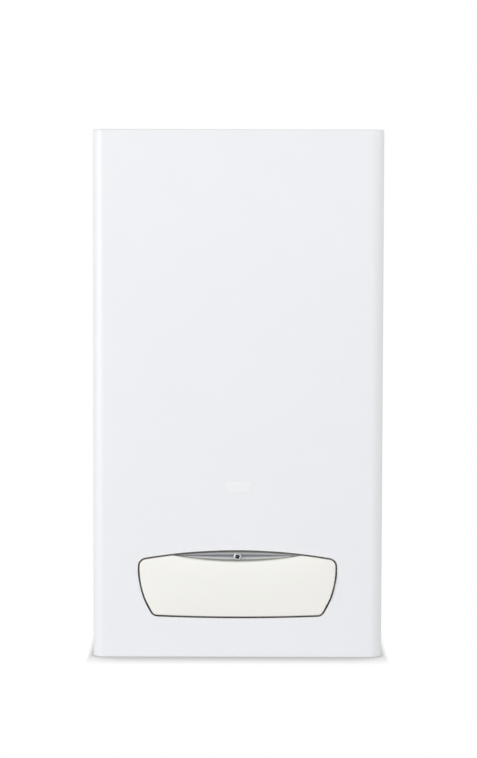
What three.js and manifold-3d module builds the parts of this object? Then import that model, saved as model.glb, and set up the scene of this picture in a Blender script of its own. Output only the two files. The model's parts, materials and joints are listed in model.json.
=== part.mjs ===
// Wall-hung combi boiler with a fold-down control door.
// Millimetres, +Z up. The wall is at +Y and the painted front looks along -Y.
// The origin is on the ground line, in the middle of the boiler's width and depth.
import * as THREE from "three";
import { mergeVertices, toCreasedNormals } from "three/addons/utils/BufferGeometryUtils.js";
import Module from "manifold-3d";

const wasm = await Module();
wasm.setup();

// ---------------------------------------------------------------- driving dimensions
const WIDTH = 400; // over the painted sides
const HEIGHT = 730; // bottom rim to top rim
const DEPTH = 299; // wall face to the crown of the control door
const SHEET = 1.2; // painted casing steel
const CORNER_RADIUS = 16; // upright front edges of the casing
const RIM = 14; // return flange round the top and the underside
const CASING_BACK = 3.5; // the casing ends this far before the wall
const DOOR_CROWN = 4.5; // how far the middle of the door stands out
const FIT = 0.3; // left between pieces that bear on each other

const FRONT = -DEPTH / 2 + DOOR_CROWN; // outer face of the casing's front
const WALL = DEPTH / 2; // the face that meets the wall

// Opening for the control door, seen from the front as x and z.
// Four large arcs bound it, and small ones round its corners.
const OPENING = {
  halfWidth: 138,
  widestAt: 124,
  sideRadius: 115,
  top: 150,
  archRadius: 760,
  bottom: 54.8,
  soleRadius: 2750,
  topCorner: 12,
  bottomCorner: 11,
};
const DOOR_GAP = 2.4; // between the casing and the door
const BITE = { bottom: 134, radius: 470 }; // dip in the door's top edge, under the grip
const DOOR = { rim: 5, wall: 2.5, centre: 97 };
const PIVOT = { y: FRONT + 2.6, z: 70, pin: 1.3 }; // so near the face that the sides clear the casing
const PANEL_Y = FRONT + 23; // face of the control panel, behind the door

// Frame, and the flue's place in the top
const FRAME = { steel: 1.5, half: WIDTH / 2 - SHEET - FIT, sideFront: -100, bottom: SHEET + FIT };
const CHANNEL = { x: 60, half: 20, deep: 6, slope: 5 }; // stiffeners pressed into the frame's back
const BACK_CLEAR = WALL - CHANNEL.deep - FRAME.steel - FIT; // nothing inside reaches past it
const ROOF_Z = 724;
const FLUE = { y: 15, seal: 52, spigot: 30 };
const INTAKE = { x: -115, radius: 42 };

// Sealed chamber: the burner, the copper exchanger, the hood and the fan stand in it
const CHAMBER = { half: FRAME.half - FRAME.steel - FIT, front: -128, back: 64, floor: 296, steel: 1 };
const FIREBOX = { half: 118, front: -98, back: 48, bottom: 352, top: 440 };
const FAN = { x: -45, z: 628, front: -5, back: 37, inner: 60, outer: 75, wall: 2 };
const FAN_WHEEL = { radius: 50, root: 38, blades: 14 };

// Water and gas connections, in a row under the boiler
const TAIL_Y = 100;
const TAIL_PITCH = 65;
const TAIL_BOTTOM = 22;
const TRAY_Z = 60; // steel tray that the connections pass through
const BARREL = { y: TAIL_Y, z: 90, radius: 18 };
const PUMP = { x: 112, y: 48, z: 150, radius: 46 };

// ---------------------------------------------------------------- making solids
const pt = (x, y) => new THREE.Vector2(x, y);

// A closed three.js geometry as a solid. One wound the wrong way round is turned.
function solid(geometry) {
  const bare = new THREE.BufferGeometry().setAttribute("position", geometry.getAttribute("position"));
  bare.setIndex(geometry.index);
  const merged = mergeVertices(bare, 1e-4);
  const triVerts = new Uint32Array(merged.index.array);
  const mesh = { numProp: 3, vertProperties: merged.attributes.position.array, triVerts };
  const build = () => new wasm.Manifold(new wasm.Mesh(mesh));
  const made = build();
  if (made.volume() >= 0) return made;
  for (let i = 0; i < triVerts.length; i += 3) {
    [triVerts[i + 1], triVerts[i + 2]] = [triVerts[i + 2], triVerts[i + 1]];
  }
  return build();
}

const join = (...bodies) => bodies.reduce((a, b) => a.add(b));
const cut = (body, ...tools) => tools.reduce((a, b) => a.subtract(b), body);

function block([x0, x1], [y0, y1], [z0, z1]) {
  const box = new THREE.BoxGeometry(x1 - x0, y1 - y0, z1 - z0);
  return solid(box.translate((x0 + x1) / 2, (y0 + y1) / 2, (z0 + z1) / 2));
}

// Turns a geometry made about or along Y or Z to the named axis, then moves it to centre.
const TURN = {
  fromY: { x: (g) => g.rotateZ(-Math.PI / 2), y: (g) => g, z: (g) => g.rotateX(Math.PI / 2) },
};
const CENTRE = { x: (a, b) => [0, a, b], y: (a, b) => [a, 0, b], z: (a, b) => [a, b, 0] };

// A profile of [radius, place along the axis] turned about an axis through centre,
// which gives the two other coordinates in x, y, z order.
function turned(axis, profile, centre, sides = 16) {
  const lathe = new THREE.LatheGeometry(profile.map(([r, h]) => pt(r, h)), sides);
  return solid(TURN.fromY[axis](lathe).translate(...CENTRE[axis](...centre)));
}

function rod(axis, radius, [from, to], centre, sides = 10) {
  return turned(axis, [[0, from], [radius, from], [radius, to], [0, to]], centre, sides);
}

// A shape drawn in plan (x, y), from the front (x, z) or from the side (y, z),
// and extruded along the third axis from one place to another.
function prism(view, shape, [from, to], curveSegments = 6) {
  const g = new THREE.ExtrudeGeometry(shape, { depth: to - from, bevelEnabled: false, curveSegments });
  if (view === "front") g.rotateX(Math.PI / 2).translate(0, to, 0);
  if (view === "plan") g.translate(0, 0, from);
  if (view === "side") {
    const axes = [pt3(0, 1, 0), pt3(0, 0, 1), pt3(1, 0, 0)];
    g.applyMatrix4(new THREE.Matrix4().makeBasis(...axes)).translate(from, 0, 0);
  }
  return solid(g);
}

const pt3 = (x, y, z) => new THREE.Vector3(x, y, z);
const polygon = (points) => new THREE.Shape(points.map(([a, b]) => pt(a, b)));

function roundedRectangle([a0, a1], [b0, b1], radius) {
  const s = new THREE.Shape();
  const corners = [[a1, b1, -1, -1], [a0, b1, 1, -1], [a0, b0, 1, 1], [a1, b0, -1, 1]];
  corners.forEach(([a, b, sa, sb], i) => {
    s.absarc(a + sa * radius, b + sb * radius, radius, (i * Math.PI) / 2, ((i + 1) * Math.PI) / 2);
  });
  return s;
}

// Cross-section of a folded sheet: a line of points thickened to its left, with mitred folds.
function folded(points, thickness) {
  const line = points.map(([a, b]) => pt(a, b));
  const left = (from, to) => pt(from.y - to.y, to.x - from.x).normalize();
  const other = line.map((p, i) => {
    const before = i > 0 ? left(line[i - 1], p) : left(p, line[i + 1]);
    const after = i < line.length - 1 ? left(p, line[i + 1]) : before;
    const mitre = before.clone().add(after).normalize();
    return p.clone().add(mitre.multiplyScalar(thickness / mitre.dot(before)));
  });
  return new THREE.Shape([...line, ...other.reverse()]);
}

// Rings of equal length joined in order, with each end closed by a fan to its middle.
function loft(rings) {
  const n = rings[0].length;
  const points = rings.flat();
  const index = [];
  for (let k = 0; k + 1 < rings.length; k++) {
    for (let i = 0; i < n; i++) {
      const j = (i + 1) % n;
      const [a, b, c, d] = [k * n + i, k * n + j, (k + 1) * n + j, (k + 1) * n + i];
      index.push(a, b, c, a, c, d);
    }
  }
  const ends = [rings[0], rings.at(-1)];
  ends.forEach((ring, e) => {
    const middle = ring.reduce((sum, p) => sum.add(p), pt3(0, 0, 0)).divideScalar(n);
    points.push(middle);
    const base = e ? (rings.length - 1) * n : 0;
    for (let i = 0; i < n; i++) {
      const pair = [base + i, base + ((i + 1) % n)];
      index.push(points.length - 1, ...(e ? pair : pair.reverse()));
    }
  });
  const g = new THREE.BufferGeometry().setFromPoints(points);
  g.setIndex(index);
  return solid(g);
}

// A curved wall between two surfaces, each a function of u and v from 0 to 1.
function slab(faceA, faceB, columns, rows) {
  const points = [];
  const at = (side, i, j) => side * (columns + 1) * (rows + 1) + i * (rows + 1) + j;
  for (const face of [faceA, faceB]) {
    for (let i = 0; i <= columns; i++) {
      for (let j = 0; j <= rows; j++) points.push(face(i / columns, j / rows));
    }
  }
  const index = [];
  const quad = (a, b, c, d) => index.push(a, b, c, a, c, d);
  for (let i = 0; i < columns; i++) {
    for (let j = 0; j < rows; j++) {
      quad(at(0, i, j), at(0, i + 1, j), at(0, i + 1, j + 1), at(0, i, j + 1));
      quad(at(1, i, j), at(1, i, j + 1), at(1, i + 1, j + 1), at(1, i + 1, j));
    }
    quad(at(0, i, 0), at(1, i, 0), at(1, i + 1, 0), at(0, i + 1, 0));
    quad(at(0, i, rows), at(0, i + 1, rows), at(1, i + 1, rows), at(1, i, rows));
  }
  for (let j = 0; j < rows; j++) {
    quad(at(0, 0, j), at(0, 0, j + 1), at(1, 0, j + 1), at(1, 0, j));
    quad(at(0, columns, j), at(1, columns, j), at(1, columns, j + 1), at(0, columns, j + 1));
  }
  const g = new THREE.BufferGeometry().setFromPoints(points);
  g.setIndex(index);
  return solid(g);
}

// A bent pipe: straight runs between the corners of a route, joined by arcs of one radius.
function pipe(route, radius, bend, sides = 8, arcSteps = 3) {
  const corners = route.map((p) => pt3(...p));
  const stations = [{ at: corners[0], along: corners[1].clone().sub(corners[0]).normalize() }];
  for (let i = 1; i + 1 < corners.length; i++) {
    const into = corners[i].clone().sub(corners[i - 1]).normalize();
    const out = corners[i + 1].clone().sub(corners[i]).normalize();
    const turn = into.angleTo(out);
    const inwards = out.clone().sub(into).normalize();
    const centre = corners[i].clone().addScaledVector(inwards, bend / Math.cos(turn / 2));
    const start = corners[i].clone().addScaledVector(into, -bend * Math.tan(turn / 2)).sub(centre);
    const hinge = into.clone().cross(out).normalize();
    for (let k = 0; k <= arcSteps; k++) {
      const angle = (turn * k) / arcSteps;
      stations.push({
        at: start.clone().applyAxisAngle(hinge, angle).add(centre),
        along: into.clone().applyAxisAngle(hinge, angle),
      });
    }
  }
  const last = corners.at(-1);
  stations.push({ at: last, along: last.clone().sub(corners.at(-2)).normalize() });
  let side = pt3(0.31, 0.17, 0.93).cross(stations[0].along).normalize();
  const rings = stations.map(({ at, along }) => {
    side = side.clone().addScaledVector(along, -side.dot(along)).normalize();
    const up = along.clone().cross(side);
    return Array.from({ length: sides }, (_, i) => {
      const a = (2 * Math.PI * i) / sides;
      const spoke = side.clone().multiplyScalar(Math.cos(a)).addScaledVector(up, Math.sin(a));
      return at.clone().addScaledVector(spoke, radius);
    });
  });
  return loft(rings);
}

// ---------------------------------------------------------------- the door's outline
// Points along an arc from one angle to another, without its last point.
function arcPoints(centre, radius, from, to, steps) {
  return Array.from({ length: steps }, (_, i) => {
    const a = from + ((to - from) * i) / steps;
    return pt(centre.x + radius * Math.cos(a), centre.y + radius * Math.sin(a));
  });
}

const angleFrom = (centre, p) => Math.atan2(p.y - centre.y, p.x - centre.x);

// Where two circles cross, on the side of the middle that the corner is.
function crossing(c1, r1, c2, r2, signX, signZ) {
  const d = c1.distanceTo(c2);
  const a = (r1 * r1 - r2 * r2 + d * d) / (2 * d);
  const h = Math.sqrt(r1 * r1 - a * a);
  const along = c2.clone().sub(c1).divideScalar(d);
  const foot = c1.clone().addScaledVector(along, a);
  const both = [-1, 1].map((s) => pt(foot.x - s * h * along.y, foot.y + s * h * along.x));
  const score = (p) => signX * p.x + signZ * (p.y - DOOR.centre);
  return score(both[0]) > score(both[1]) ? both[0] : both[1];
}

// The opening's outline, grown by offset all round, anticlockwise from the right side.
// Growing every arc by the same amount keeps the outlines parallel.
function openingArcs(offset) {
  const o = OPENING;
  const discs = [
    { centre: pt(o.halfWidth - o.sideRadius, o.widestAt), radius: o.sideRadius, steps: 4 },
    { centre: pt(0, o.top - o.archRadius), radius: o.archRadius, steps: 8 },
    { centre: pt(o.sideRadius - o.halfWidth, o.widestAt), radius: o.sideRadius, steps: 4 },
    { centre: pt(0, o.bottom + o.soleRadius), radius: o.soleRadius, steps: 4 },
  ];
  const rounds = [
    { radius: o.topCorner, side: [1, 1] },
    { radius: o.topCorner, side: [-1, 1] },
    { radius: o.bottomCorner, side: [-1, -1] },
    { radius: o.bottomCorner, side: [1, -1] },
  ];
  const corners = rounds.map(({ radius, side }, i) => {
    const [a, b] = [discs[i], discs[(i + 1) % 4]];
    const centre = crossing(a.centre, a.radius - radius, b.centre, b.radius - radius, ...side);
    return { centre, radius, from: angleFrom(a.centre, centre), to: angleFrom(b.centre, centre) };
  });
  const onwards = (from, to) => (to < from ? to + 2 * Math.PI : to);
  return discs.flatMap((disc, i) => {
    const corner = corners[i];
    const from = corners[(i + 3) % 4].to;
    return [
      { ...disc, radius: disc.radius + offset, from, to: onwards(from, corner.from) },
      { ...corner, radius: corner.radius + offset, to: onwards(corner.from, corner.to), steps: 3 },
    ];
  });
}

const outlineOf = (arcs) => arcs.flatMap((a) => arcPoints(a.centre, a.radius, a.from, a.to, a.steps));
const openingOutline = (offset) => outlineOf(openingArcs(offset));

// The door's outline, inset from its own edge: the opening less the gap, with the dip of
// the grip bitten out of the arch between two tips.
function doorOutline(inset) {
  const arcs = openingArcs(-DOOR_GAP - inset);
  const arch = arcs[2];
  const bite = { centre: pt(0, BITE.bottom + BITE.radius), radius: BITE.radius + inset };
  const tip = crossing(arch.centre, arch.radius, bite.centre, bite.radius, 1, 0);
  const rightTip = angleFrom(arch.centre, tip);
  const dip = angleFrom(bite.centre, tip) + 2 * Math.PI;
  const top = [
    { ...arch, to: rightTip, steps: 2 },
    { ...bite, from: dip, to: 3 * Math.PI - dip, steps: 8 },
    { ...arch, from: Math.PI - rightTip, steps: 2 },
  ];
  return outlineOf([...arcs.slice(0, 2), ...top, ...arcs.slice(3)]);
}

// Half the width of the outline grown by offset, at a height on its side arcs.
function sideX(z, offset) {
  const { halfWidth, sideRadius, widestAt } = OPENING;
  return halfWidth - sideRadius + Math.sqrt((sideRadius + offset) ** 2 - (z - widestAt) ** 2);
}
const biteZ = (x) => BITE.bottom + (x * x) / (2 * BITE.radius);

// ---------------------------------------------------------------- finishes
const finish = (color, roughness, metalness = 0, more = {}) =>
  new THREE.MeshStandardMaterial({ color, roughness, metalness, ...more });
const FINISH = {
  casing: finish(0xf0f1f5, 0.35),
  door: finish(0xf4f3ef, 0.4),
  silver: finish(0xa9adb0, 0.3, 0.6),
  panel: finish(0x9a9ea1, 0.5),
  dark: finish(0x1b1c1e, 0.35),
  galvanised: finish(0xb4b8ba, 0.45, 0.9),
  aluminised: finish(0xc3c5c4, 0.4, 0.9),
  fibre: finish(0xe4dfd2, 0.95),
  copper: finish(0xb8683c, 0.35, 1),
  brass: finish(0xc2a25a, 0.35, 1),
  steel: finish(0xc9cbcc, 0.3, 1),
  castIron: finish(0x3a3d40, 0.6, 0.5),
  box: finish(0x55585b, 0.6),
  board: finish(0x2f6b3c, 0.55),
  clear: finish(0xe9eef0, 0.05, 0, { transparent: true, opacity: 0.35 }),
  dial: finish(0xf2f2ee, 0.6),
  red: finish(0xb3262a, 0.45),
  blue: finish(0x2b5fa8, 0.45),
  vessel: finish(0xa5312b, 0.5, 0.3),
  ceramic: finish(0xf1ece0, 0.3),
};

// ---------------------------------------------------------------- casing and frame
// One sheet wraps the front and both sides. Flanges turn in round its top and its underside.
function frontCasing() {
  const rear = WALL - CASING_BACK;
  const wrap = (inset, back) => {
    const half = WIDTH / 2 - inset;
    const front = FRONT + inset;
    const r = CORNER_RADIUS - inset;
    const s = new THREE.Shape().moveTo(-half, back).lineTo(-half, front + r);
    s.absarc(-half + r, front + r, r, Math.PI, 1.5 * Math.PI);
    s.absarc(half - r, front + r, r, 1.5 * Math.PI, 2 * Math.PI);
    return s.lineTo(half, back);
  };
  const clear = WIDTH / 2 - RIM;
  const through = block([-clear, clear], [FRONT + RIM, rear + 1], [-1, HEIGHT + 1]);
  return cut(
    prism("plan", wrap(0, rear), [0, HEIGHT]),
    prism("plan", wrap(SHEET, rear + 1), [SHEET, HEIGHT - SHEET]),
    through,
    prism("front", new THREE.Shape(openingOutline(0)), [FRONT - 1, FRONT + SHEET + 1]),
  );
}

const HANG_SLOT = { x: 120, z: 690, half: 20, height: 14 };
const CONTROL_PIVOT = { y: -85, z: 60, radius: 5 };

// Pressed back plate with two stiffening channels, folded forward into the side cheeks.
function backFrame() {
  const { half, deep, slope } = CHANNEL;
  const channel = (x) => [
    [x + half, WALL], [x + half - slope, WALL - deep],
    [x - half + slope, WALL - deep], [x - half, WALL],
  ];
  const line = [
    [FRAME.half, FRAME.sideFront],
    [FRAME.half, WALL],
    ...channel(CHANNEL.x),
    ...channel(-CHANNEL.x),
    [-FRAME.half, WALL],
    [-FRAME.half, FRAME.sideFront],
  ];
  const slots = [-1, 1].map((s) => {
    const x = s * HANG_SLOT.x;
    const z = HANG_SLOT.z;
    const reach = [x - HANG_SLOT.half, x + HANG_SLOT.half];
    const outline = roundedRectangle(reach, [z, z + HANG_SLOT.height], 4);
    return prism("front", outline, [WALL - 5, WALL + 1], 1);
  });
  return cut(
    prism("plan", folded(line, FRAME.steel), [FRAME.bottom, ROOF_Z - FIT]),
    ...slots,
    rod("x", CONTROL_PIVOT.radius + 0.4, [-WIDTH / 2, WIDTH / 2], [CONTROL_PIVOT.y, CONTROL_PIVOT.z]),
  );
}

function topPanel() {
  const front = FRONT + SHEET + FIT;
  const half = FRAME.half;
  const outline = polygon([
    [-half, WALL], [-half, front + CORNER_RADIUS], [-half + CORNER_RADIUS, front],
    [half - CORNER_RADIUS, front], [half, front + CORNER_RADIUS], [half, WALL],
  ]);
  const plate = prism("plan", outline, [ROOF_Z, ROOF_Z + SHEET]);
  const lipHalf = half - CORNER_RADIUS;
  const lip = block([-lipHalf, lipHalf], [front, front + SHEET], [ROOF_Z - 12, ROOF_Z + 1]);
  return cut(
    join(plate, lip),
    rod("z", FLUE.seal, [ROOF_Z - 1, ROOF_Z + 2], [0, FLUE.y], 24),
    rod("z", INTAKE.radius, [ROOF_Z - 1, ROOF_Z + 2], [INTAKE.x, FLUE.y], 16),
  );
}

// Dished disc that closes the second air inlet, with a skirt that drops through the hole.
function intakeBlank() {
  const r = INTAKE.radius;
  const z = ROOF_Z + SHEET + FIT;
  const profile = [
    [0, z - 1], [r - 2, z - 1], [r - 2, z - 8], [r - 0.5, z - 8],
    [r - 0.5, z], [r + 6, z], [r + 6, z + 1.2], [r - 8, z + 2.4], [0, z + 2.4],
  ];
  return turned("z", profile, [INTAKE.x, FLUE.y], 16);
}

const tailX = (i) => (i - 2) * TAIL_PITCH;
const FILLING_X = 97;

// Tray that ties the frame's cheeks together and holds the five connections.
function connectionTray() {
  const half = FRAME.half - FRAME.steel - FIT;
  const [near, far, lip] = [62, BACK_CLEAR, TRAY_Z + 12];
  const section = folded([[near, lip], [near, TRAY_Z], [far, TRAY_Z], [far, lip]], SHEET);
  const holes = [0, 1, 2, 3, 4].map((i) => rod("z", 13.6, [TRAY_Z - 1, TRAY_Z + 3], [tailX(i), TAIL_Y]));
  return cut(
    prism("side", section, [-half, half]),
    ...holes,
    rod("z", 8, [TRAY_Z - 1, TRAY_Z + 3], [FILLING_X, TAIL_Y]),
  );
}

// ---------------------------------------------------------------- controls
const at = (outline, y, scale = 1) =>
  outline.map((p) => pt3(p.x * scale, y, DOOR.centre + (p.y - DOOR.centre) * scale));

// Crowned shell: rings run from the middle of its face, over the rounded edge and round
// the rim, to the middle of its inside. Its rim carries a moulded pivot pin at each side.
function controlDoor() {
  const edge = 1.4;
  const inset = doorOutline(edge);
  const flat = 0.4;
  const rise = (scale) => (1 - scale * scale) / (1 - flat * flat);
  const crownRing = (scale, thickness) => at(inset, FRONT + thickness - DOOR_CROWN * rise(scale), scale);
  const inner = doorOutline(DOOR.wall);
  const shell = loft([
    crownRing(flat, 0),
    crownRing(0.75, 0),
    crownRing(1, 0),
    at(doorOutline(edge * 0.3), FRONT + edge * 0.3),
    at(doorOutline(0), FRONT + edge),
    at(doorOutline(0), FRONT + DOOR.rim),
    at(inner, FRONT + DOOR.rim),
    at(inner, FRONT + DOOR.wall + 0.4),
    crownRing(flat, DOOR.wall),
  ]);
  const edgeX = sideX(PIVOT.z, -DOOR_GAP);
  const pins = [-1, 1].map((s) => {
    const span = [s * (edgeX - 1), s * (edgeX + 7)].sort((a, b) => a - b);
    return rod("x", PIVOT.pin, span, [PIVOT.y, PIVOT.z], 8);
  });
  return join(shell, ...pins);
}

const KNOBS = [
  { name: "mode_knob", x: -92 },
  { name: "heating_knob", x: -40 },
  { name: "hot_water_knob", x: 12 },
];
const KNOB_Z = 94;
const GAUGE = { x: 84, z: 97, radius: 21 };
const LAMPS = Array.from({ length: 6 }, (_, i) => -66 + 14 * i);
const LAMP_Z = 124;

// Tray moulding that fills the opening from behind. Its flange bears on the casing, its floor
// is the control panel, and a slot at each side takes a pivot pin of the door.
function controlFascia() {
  const tray = (offset) => new THREE.Shape(openingOutline(offset));
  const back = PANEL_Y + 3;
  const flangeY = FRONT + SHEET + FIT;
  const body = join(
    prism("front", tray(10), [flangeY, flangeY + 2]),
    prism("front", tray(4.5), [flangeY, back]),
  );
  const wallX = sideX(PIVOT.z, 2.5);
  const half = PIVOT.pin + 0.2;
  const slots = [-1, 1].map((s) => {
    const span = [s * (wallX - 1), s * (wallX + 12)].sort((a, b) => a - b);
    return block(span, [flangeY - 1, PIVOT.y + half], [PIVOT.z - half, PIVOT.z + half]);
  });
  return cut(
    body,
    prism("front", tray(2.5), [flangeY - 1, PANEL_Y]),
    ...slots,
    ...KNOBS.map(({ x }) => rod("y", 3.8, [PANEL_Y - 1, back + 1], [x, KNOB_Z], 8)),
    rod("y", GAUGE.radius + FIT, [PANEL_Y - 1, back + 1], [GAUGE.x, GAUGE.z], 16),
    ...LAMPS.map((x) => rod("y", 2.5, [PANEL_Y - 1, back + 1], [x, LAMP_Z], 6)),
  );
}

// Silver finger scoop between the casing's arch and the door's dip. Its section sinks, comes
// forward again and ends in a strip behind the door's lip. The sink fades out at both tips.
const SCOOP = {
  reach: 87, // half its length
  top: 146.7, // its upper edge, in the middle
  topRadius: 970,
  lip: 3, // height of the strip behind the door's lip
  share: 0.8, // share of the section above that strip
  face: FRONT + 0.8,
  behind: 5.6,
  sink: 6.5,
  wall: 2,
};
function gripScoop() {
  const topZ = (x) => SCOOP.top - (x * x) / (2 * SCOOP.topRadius);
  const face = (u, v) => {
    const x = SCOOP.reach * (2 * u - 1);
    const t = Math.min(1, v / SCOOP.share);
    const strip = Math.max(0, v - SCOOP.share) / (1 - SCOOP.share);
    const top = topZ(x);
    const open = (top - biteZ(x)) / (SCOOP.top - BITE.bottom);
    const y = SCOOP.face + SCOOP.behind * t + SCOOP.sink * open * Math.sin(Math.PI * t);
    return pt3(x, y, top + (biteZ(x) - top) * t - SCOOP.lip * strip);
  };
  const backFace = (u, v) => face(u, v).add(pt3(0, SCOOP.wall, 0));
  const peg = (x) => {
    const start = face(0.5 + x / (2 * SCOOP.reach), 0.5).y + 1;
    return rod("y", 2.5, [start, PANEL_Y - FIT], [x, STATUS.z], 6);
  };
  const collar = rod("y", STATUS.radius + 1.6, [STATUS.y + 1, STATUS.y + 6], [0, STATUS.z], 12);
  return cut(
    join(slab(face, backFace, 10, 5), peg(-50), peg(50), collar),
    rod("y", STATUS.radius + FIT, [FRONT, PANEL_Y - 6], [0, STATUS.z], 12),
  );
}

// Small domed lamp in the middle of the scoop.
const STATUS = { z: 140.2, radius: 2.8, y: FRONT + 5 };
function statusLens() {
  const { radius: r, y } = STATUS;
  const profile = [[0, y], [r * 0.6, y + 0.4], [r, y + 1.4], [r, y + 12], [0, y + 12]];
  return turned("y", profile, [0, STATUS.z], 12);
}

// Turning knob with a skirt, a tapered grip, a pointer bar and a stem for its switch.
const KNOB = { skirt: 17, grip: 12.5, height: 13.6, stem: 3.2, stemLength: 17 };
function knob() {
  const floor = 0.4 - KNOB.height;
  const body = turned(
    "y",
    [
      [0, KNOB.stemLength], [KNOB.stem, KNOB.stemLength], [KNOB.stem, 0], [KNOB.skirt, 0], [KNOB.skirt, -2],
      [KNOB.grip + 1.2, -3.4], [KNOB.grip, floor], [0, floor],
    ].reverse(),
    [0, 0],
    14,
  );
  const reach = KNOB.grip + 2;
  const pointer = roundedRectangle([-2.5, 2.5], [-reach, reach], 2.4);
  const bar = prism("front", pointer, [-KNOB.height, -2.5], 2);
  return join(body, bar);
}

function gaugeCase() {
  const r = GAUGE.radius;
  const y = PANEL_Y;
  const profile = [
    [0, y + 18], [r, y + 18], [r, y - FIT], [r + 2, y - FIT], [r + 2, y - 2.6], [r + 1, y - 3.6],
    [r - 1.6, y - 3.6], [r - 1.6, y + 4], [0, y + 4],
  ].reverse();
  const hub = rod("y", 1.1, [y - 0.6, y + 5], [0, 0], 8);
  const nipple = rod("z", 4, [-r - 6, -r + 2], [0, y + 11], 10);
  return join(turned("y", profile, [0, 0], 16), hub, nipple);
}

function gaugeDial() {
  const r = GAUGE.radius - 2;
  const y = PANEL_Y + 2.6;
  const bored = [[1.4, y + 1.1], [1.4, y], [r, y], [r, y + 1.1], [1.4, y + 1.1]];
  return turned("y", bored, [0, 0], 16);
}

const NEEDLE = { length: 14.5, tail: 5 };
function gaugeNeedle() {
  const blade = polygon([
    [-1.4, -NEEDLE.tail], [1.4, -NEEDLE.tail], [1.2, 0],
    [0.3, NEEDLE.length], [-0.3, NEEDLE.length], [-1.2, 0],
  ]);
  const y = PANEL_Y + 0.6;
  return cut(
    join(prism("front", blade, [y, y + 1]), rod("y", 2.8, [y - 0.4, y + 1.4], [0, 0], 12)),
    rod("y", 1.4, [y - 1, y + 2], [0, 0], 8),
  );
}

function gaugeWindow() {
  const y = PANEL_Y - 3;
  const r = GAUGE.radius - 2;
  return turned("y", [[0, y], [r, y], [r, y + 1.4], [0, y + 1.4]], [0, 0], 16);
}

// Row of moulded light pipes on one bar, behind the panel.
function lampStrip() {
  const back = PANEL_Y + 3 + FIT;
  const bar = block([LAMPS[0] - 5, LAMPS.at(-1) + 5], [back, back + 3], [LAMP_Z - 3, LAMP_Z + 3]);
  return join(bar, ...LAMPS.map((x) => rod("y", 2, [PANEL_Y - 0.6, back + 1], [x, LAMP_Z], 6)));
}

const BOX = { half: 192, front: PANEL_Y + 3 + FIT, back: -60, bottom: 44, top: 168, wall: 2 };

// Housing of the electrics, open to the rear. It pivots between the frame's cheeks for service.
function controlBox() {
  const { half, front, back, bottom, top, wall } = BOX;
  const shell = cut(
    block([-half, half], [front, back - 2 - FIT], [bottom, top]),
    block([-half + wall, half - wall], [front + wall, back], [bottom + wall, top - wall]),
  );
  const window = block([-112, 112], [front - 1, front + wall + 1], [72, 130]);
  const ledge = block([-half, half], [front, front + 12], [top - 3, top - 1]);
  const pivots = [-1, 1].map((s) => {
    const x = [s * (half - 6), s * (FRAME.half - 0.2)].sort((a, b) => a - b);
    return rod("x", CONTROL_PIVOT.radius, x, [CONTROL_PIVOT.y, CONTROL_PIVOT.z]);
  });
  const glandHole = rod("z", 8, [bottom - 1, bottom + wall + 1], [GLAND.x, GLAND.y]);
  const capillaryHole = block([GAUGE.x - 5, GAUGE.x + 5], [-94, back], [bottom - 1, bottom + wall + 1]);
  return cut(join(shell, ledge, ...pivots), window, glandHole, capillaryHole);
}

function controlBoxLid() {
  const { half, back, bottom, top } = BOX;
  const plate = block([-half, half], [back - 2, back], [bottom, top]);
  const reach = [-half + 20, half - 20];
  const ribs = [70, 105, 140].map((z) => block(reach, [back, back + 2.5], [z - 1, z + 1]));
  return join(plate, ...ribs);
}

// Board with the switch bodies, a transformer, three relays and a row of plug headers.
const BOARD_Y = -102;
function circuitBoard() {
  const thick = 1.6;
  const board = block([-150, 150], [BOARD_Y, BOARD_Y + thick], [56, 152]);
  const seat = BOARD_Y + 0.5;
  const inner = BOX.front + BOX.wall;
  const tops = [
    block([92, 138], [seat, BOARD_Y + 34], [98, 140]),
    ...[-40, -10].map((x) => block([x, x + 22], [seat, BOARD_Y + 18], [118, 134])),
    ...[-130, -70].map((x) => block([x, x + 46], [seat, BOARD_Y + 12], [60, 70])),
    ...[-140, 140].map((x) => block([x - 6, x + 6], [inner + FIT, seat + 1], [140, 150])),
  ];
  const bodies = KNOBS.map(({ x }) => rod("y", 9, [inner + 3, seat + 1], [x, KNOB_Z], 8));
  const bore = [BOARD_Y - 20, BOARD_Y + 4];
  const bores = KNOBS.map(({ x }) => rod("y", KNOB.stem + FIT, bore, [x, KNOB_Z], 8));
  const gaugeClear = rod("y", GAUGE.radius + 2, [BOARD_Y - 4, BOARD_Y + 4], [GAUGE.x, GAUGE.z], 12);
  return cut(join(board, ...tops, ...bodies), gaugeClear, ...bores);
}

const GLAND = { x: -120, y: -88 };
function cableGland() {
  const z = BOX.bottom;
  const profile = [
    [0, z + 9], [7, z + 9], [7, z - FIT], [11, z - FIT], [11, z - 5], [8, z - 8], [6.5, z - 14],
    [4, z - 14], [3, z - 11], [0, z - 11],
  ].reverse();
  return turned("z", profile, [GLAND.x, GLAND.y], 12);
}

// ---------------------------------------------------------------- sealed chamber
const SUPPLY = { y: -108, z: 318, radius: 9 };
const RISERS = [{ x: -170, y: -81 }, { x: 170, y: 31 }];

function chamberShell() {
  const { half, front, back, floor, steel } = CHAMBER;
  const roof = ROOF_Z - FIT;
  return cut(
    block([-half, half], [front, back], [floor, roof]),
    block([-half + steel, half - steel], [front - 1, back - steel], [floor + steel, roof - steel]),
    rod("z", FLUE.seal, [roof - 3, roof + 1], [0, FLUE.y], 24),
    rod("z", INTAKE.radius, [roof - 3, roof + 1], [INTAKE.x, FLUE.y], 16),
    rod("z", SUPPLY.radius + FIT, [floor - 1, floor + 2], [0, SUPPLY.y]),
    ...RISERS.map(({ x, y }) => rod("z", 8.8, [floor - 1, floor + 2], [x, y])),
  );
}

const SIGHT_Z = 374;
const rectangleRing = (y, halfX, [z0, z1]) => [
  pt3(-halfX, y, z0), pt3(halfX, y, z0), pt3(halfX, y, z1), pt3(-halfX, y, z1),
];

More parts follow.
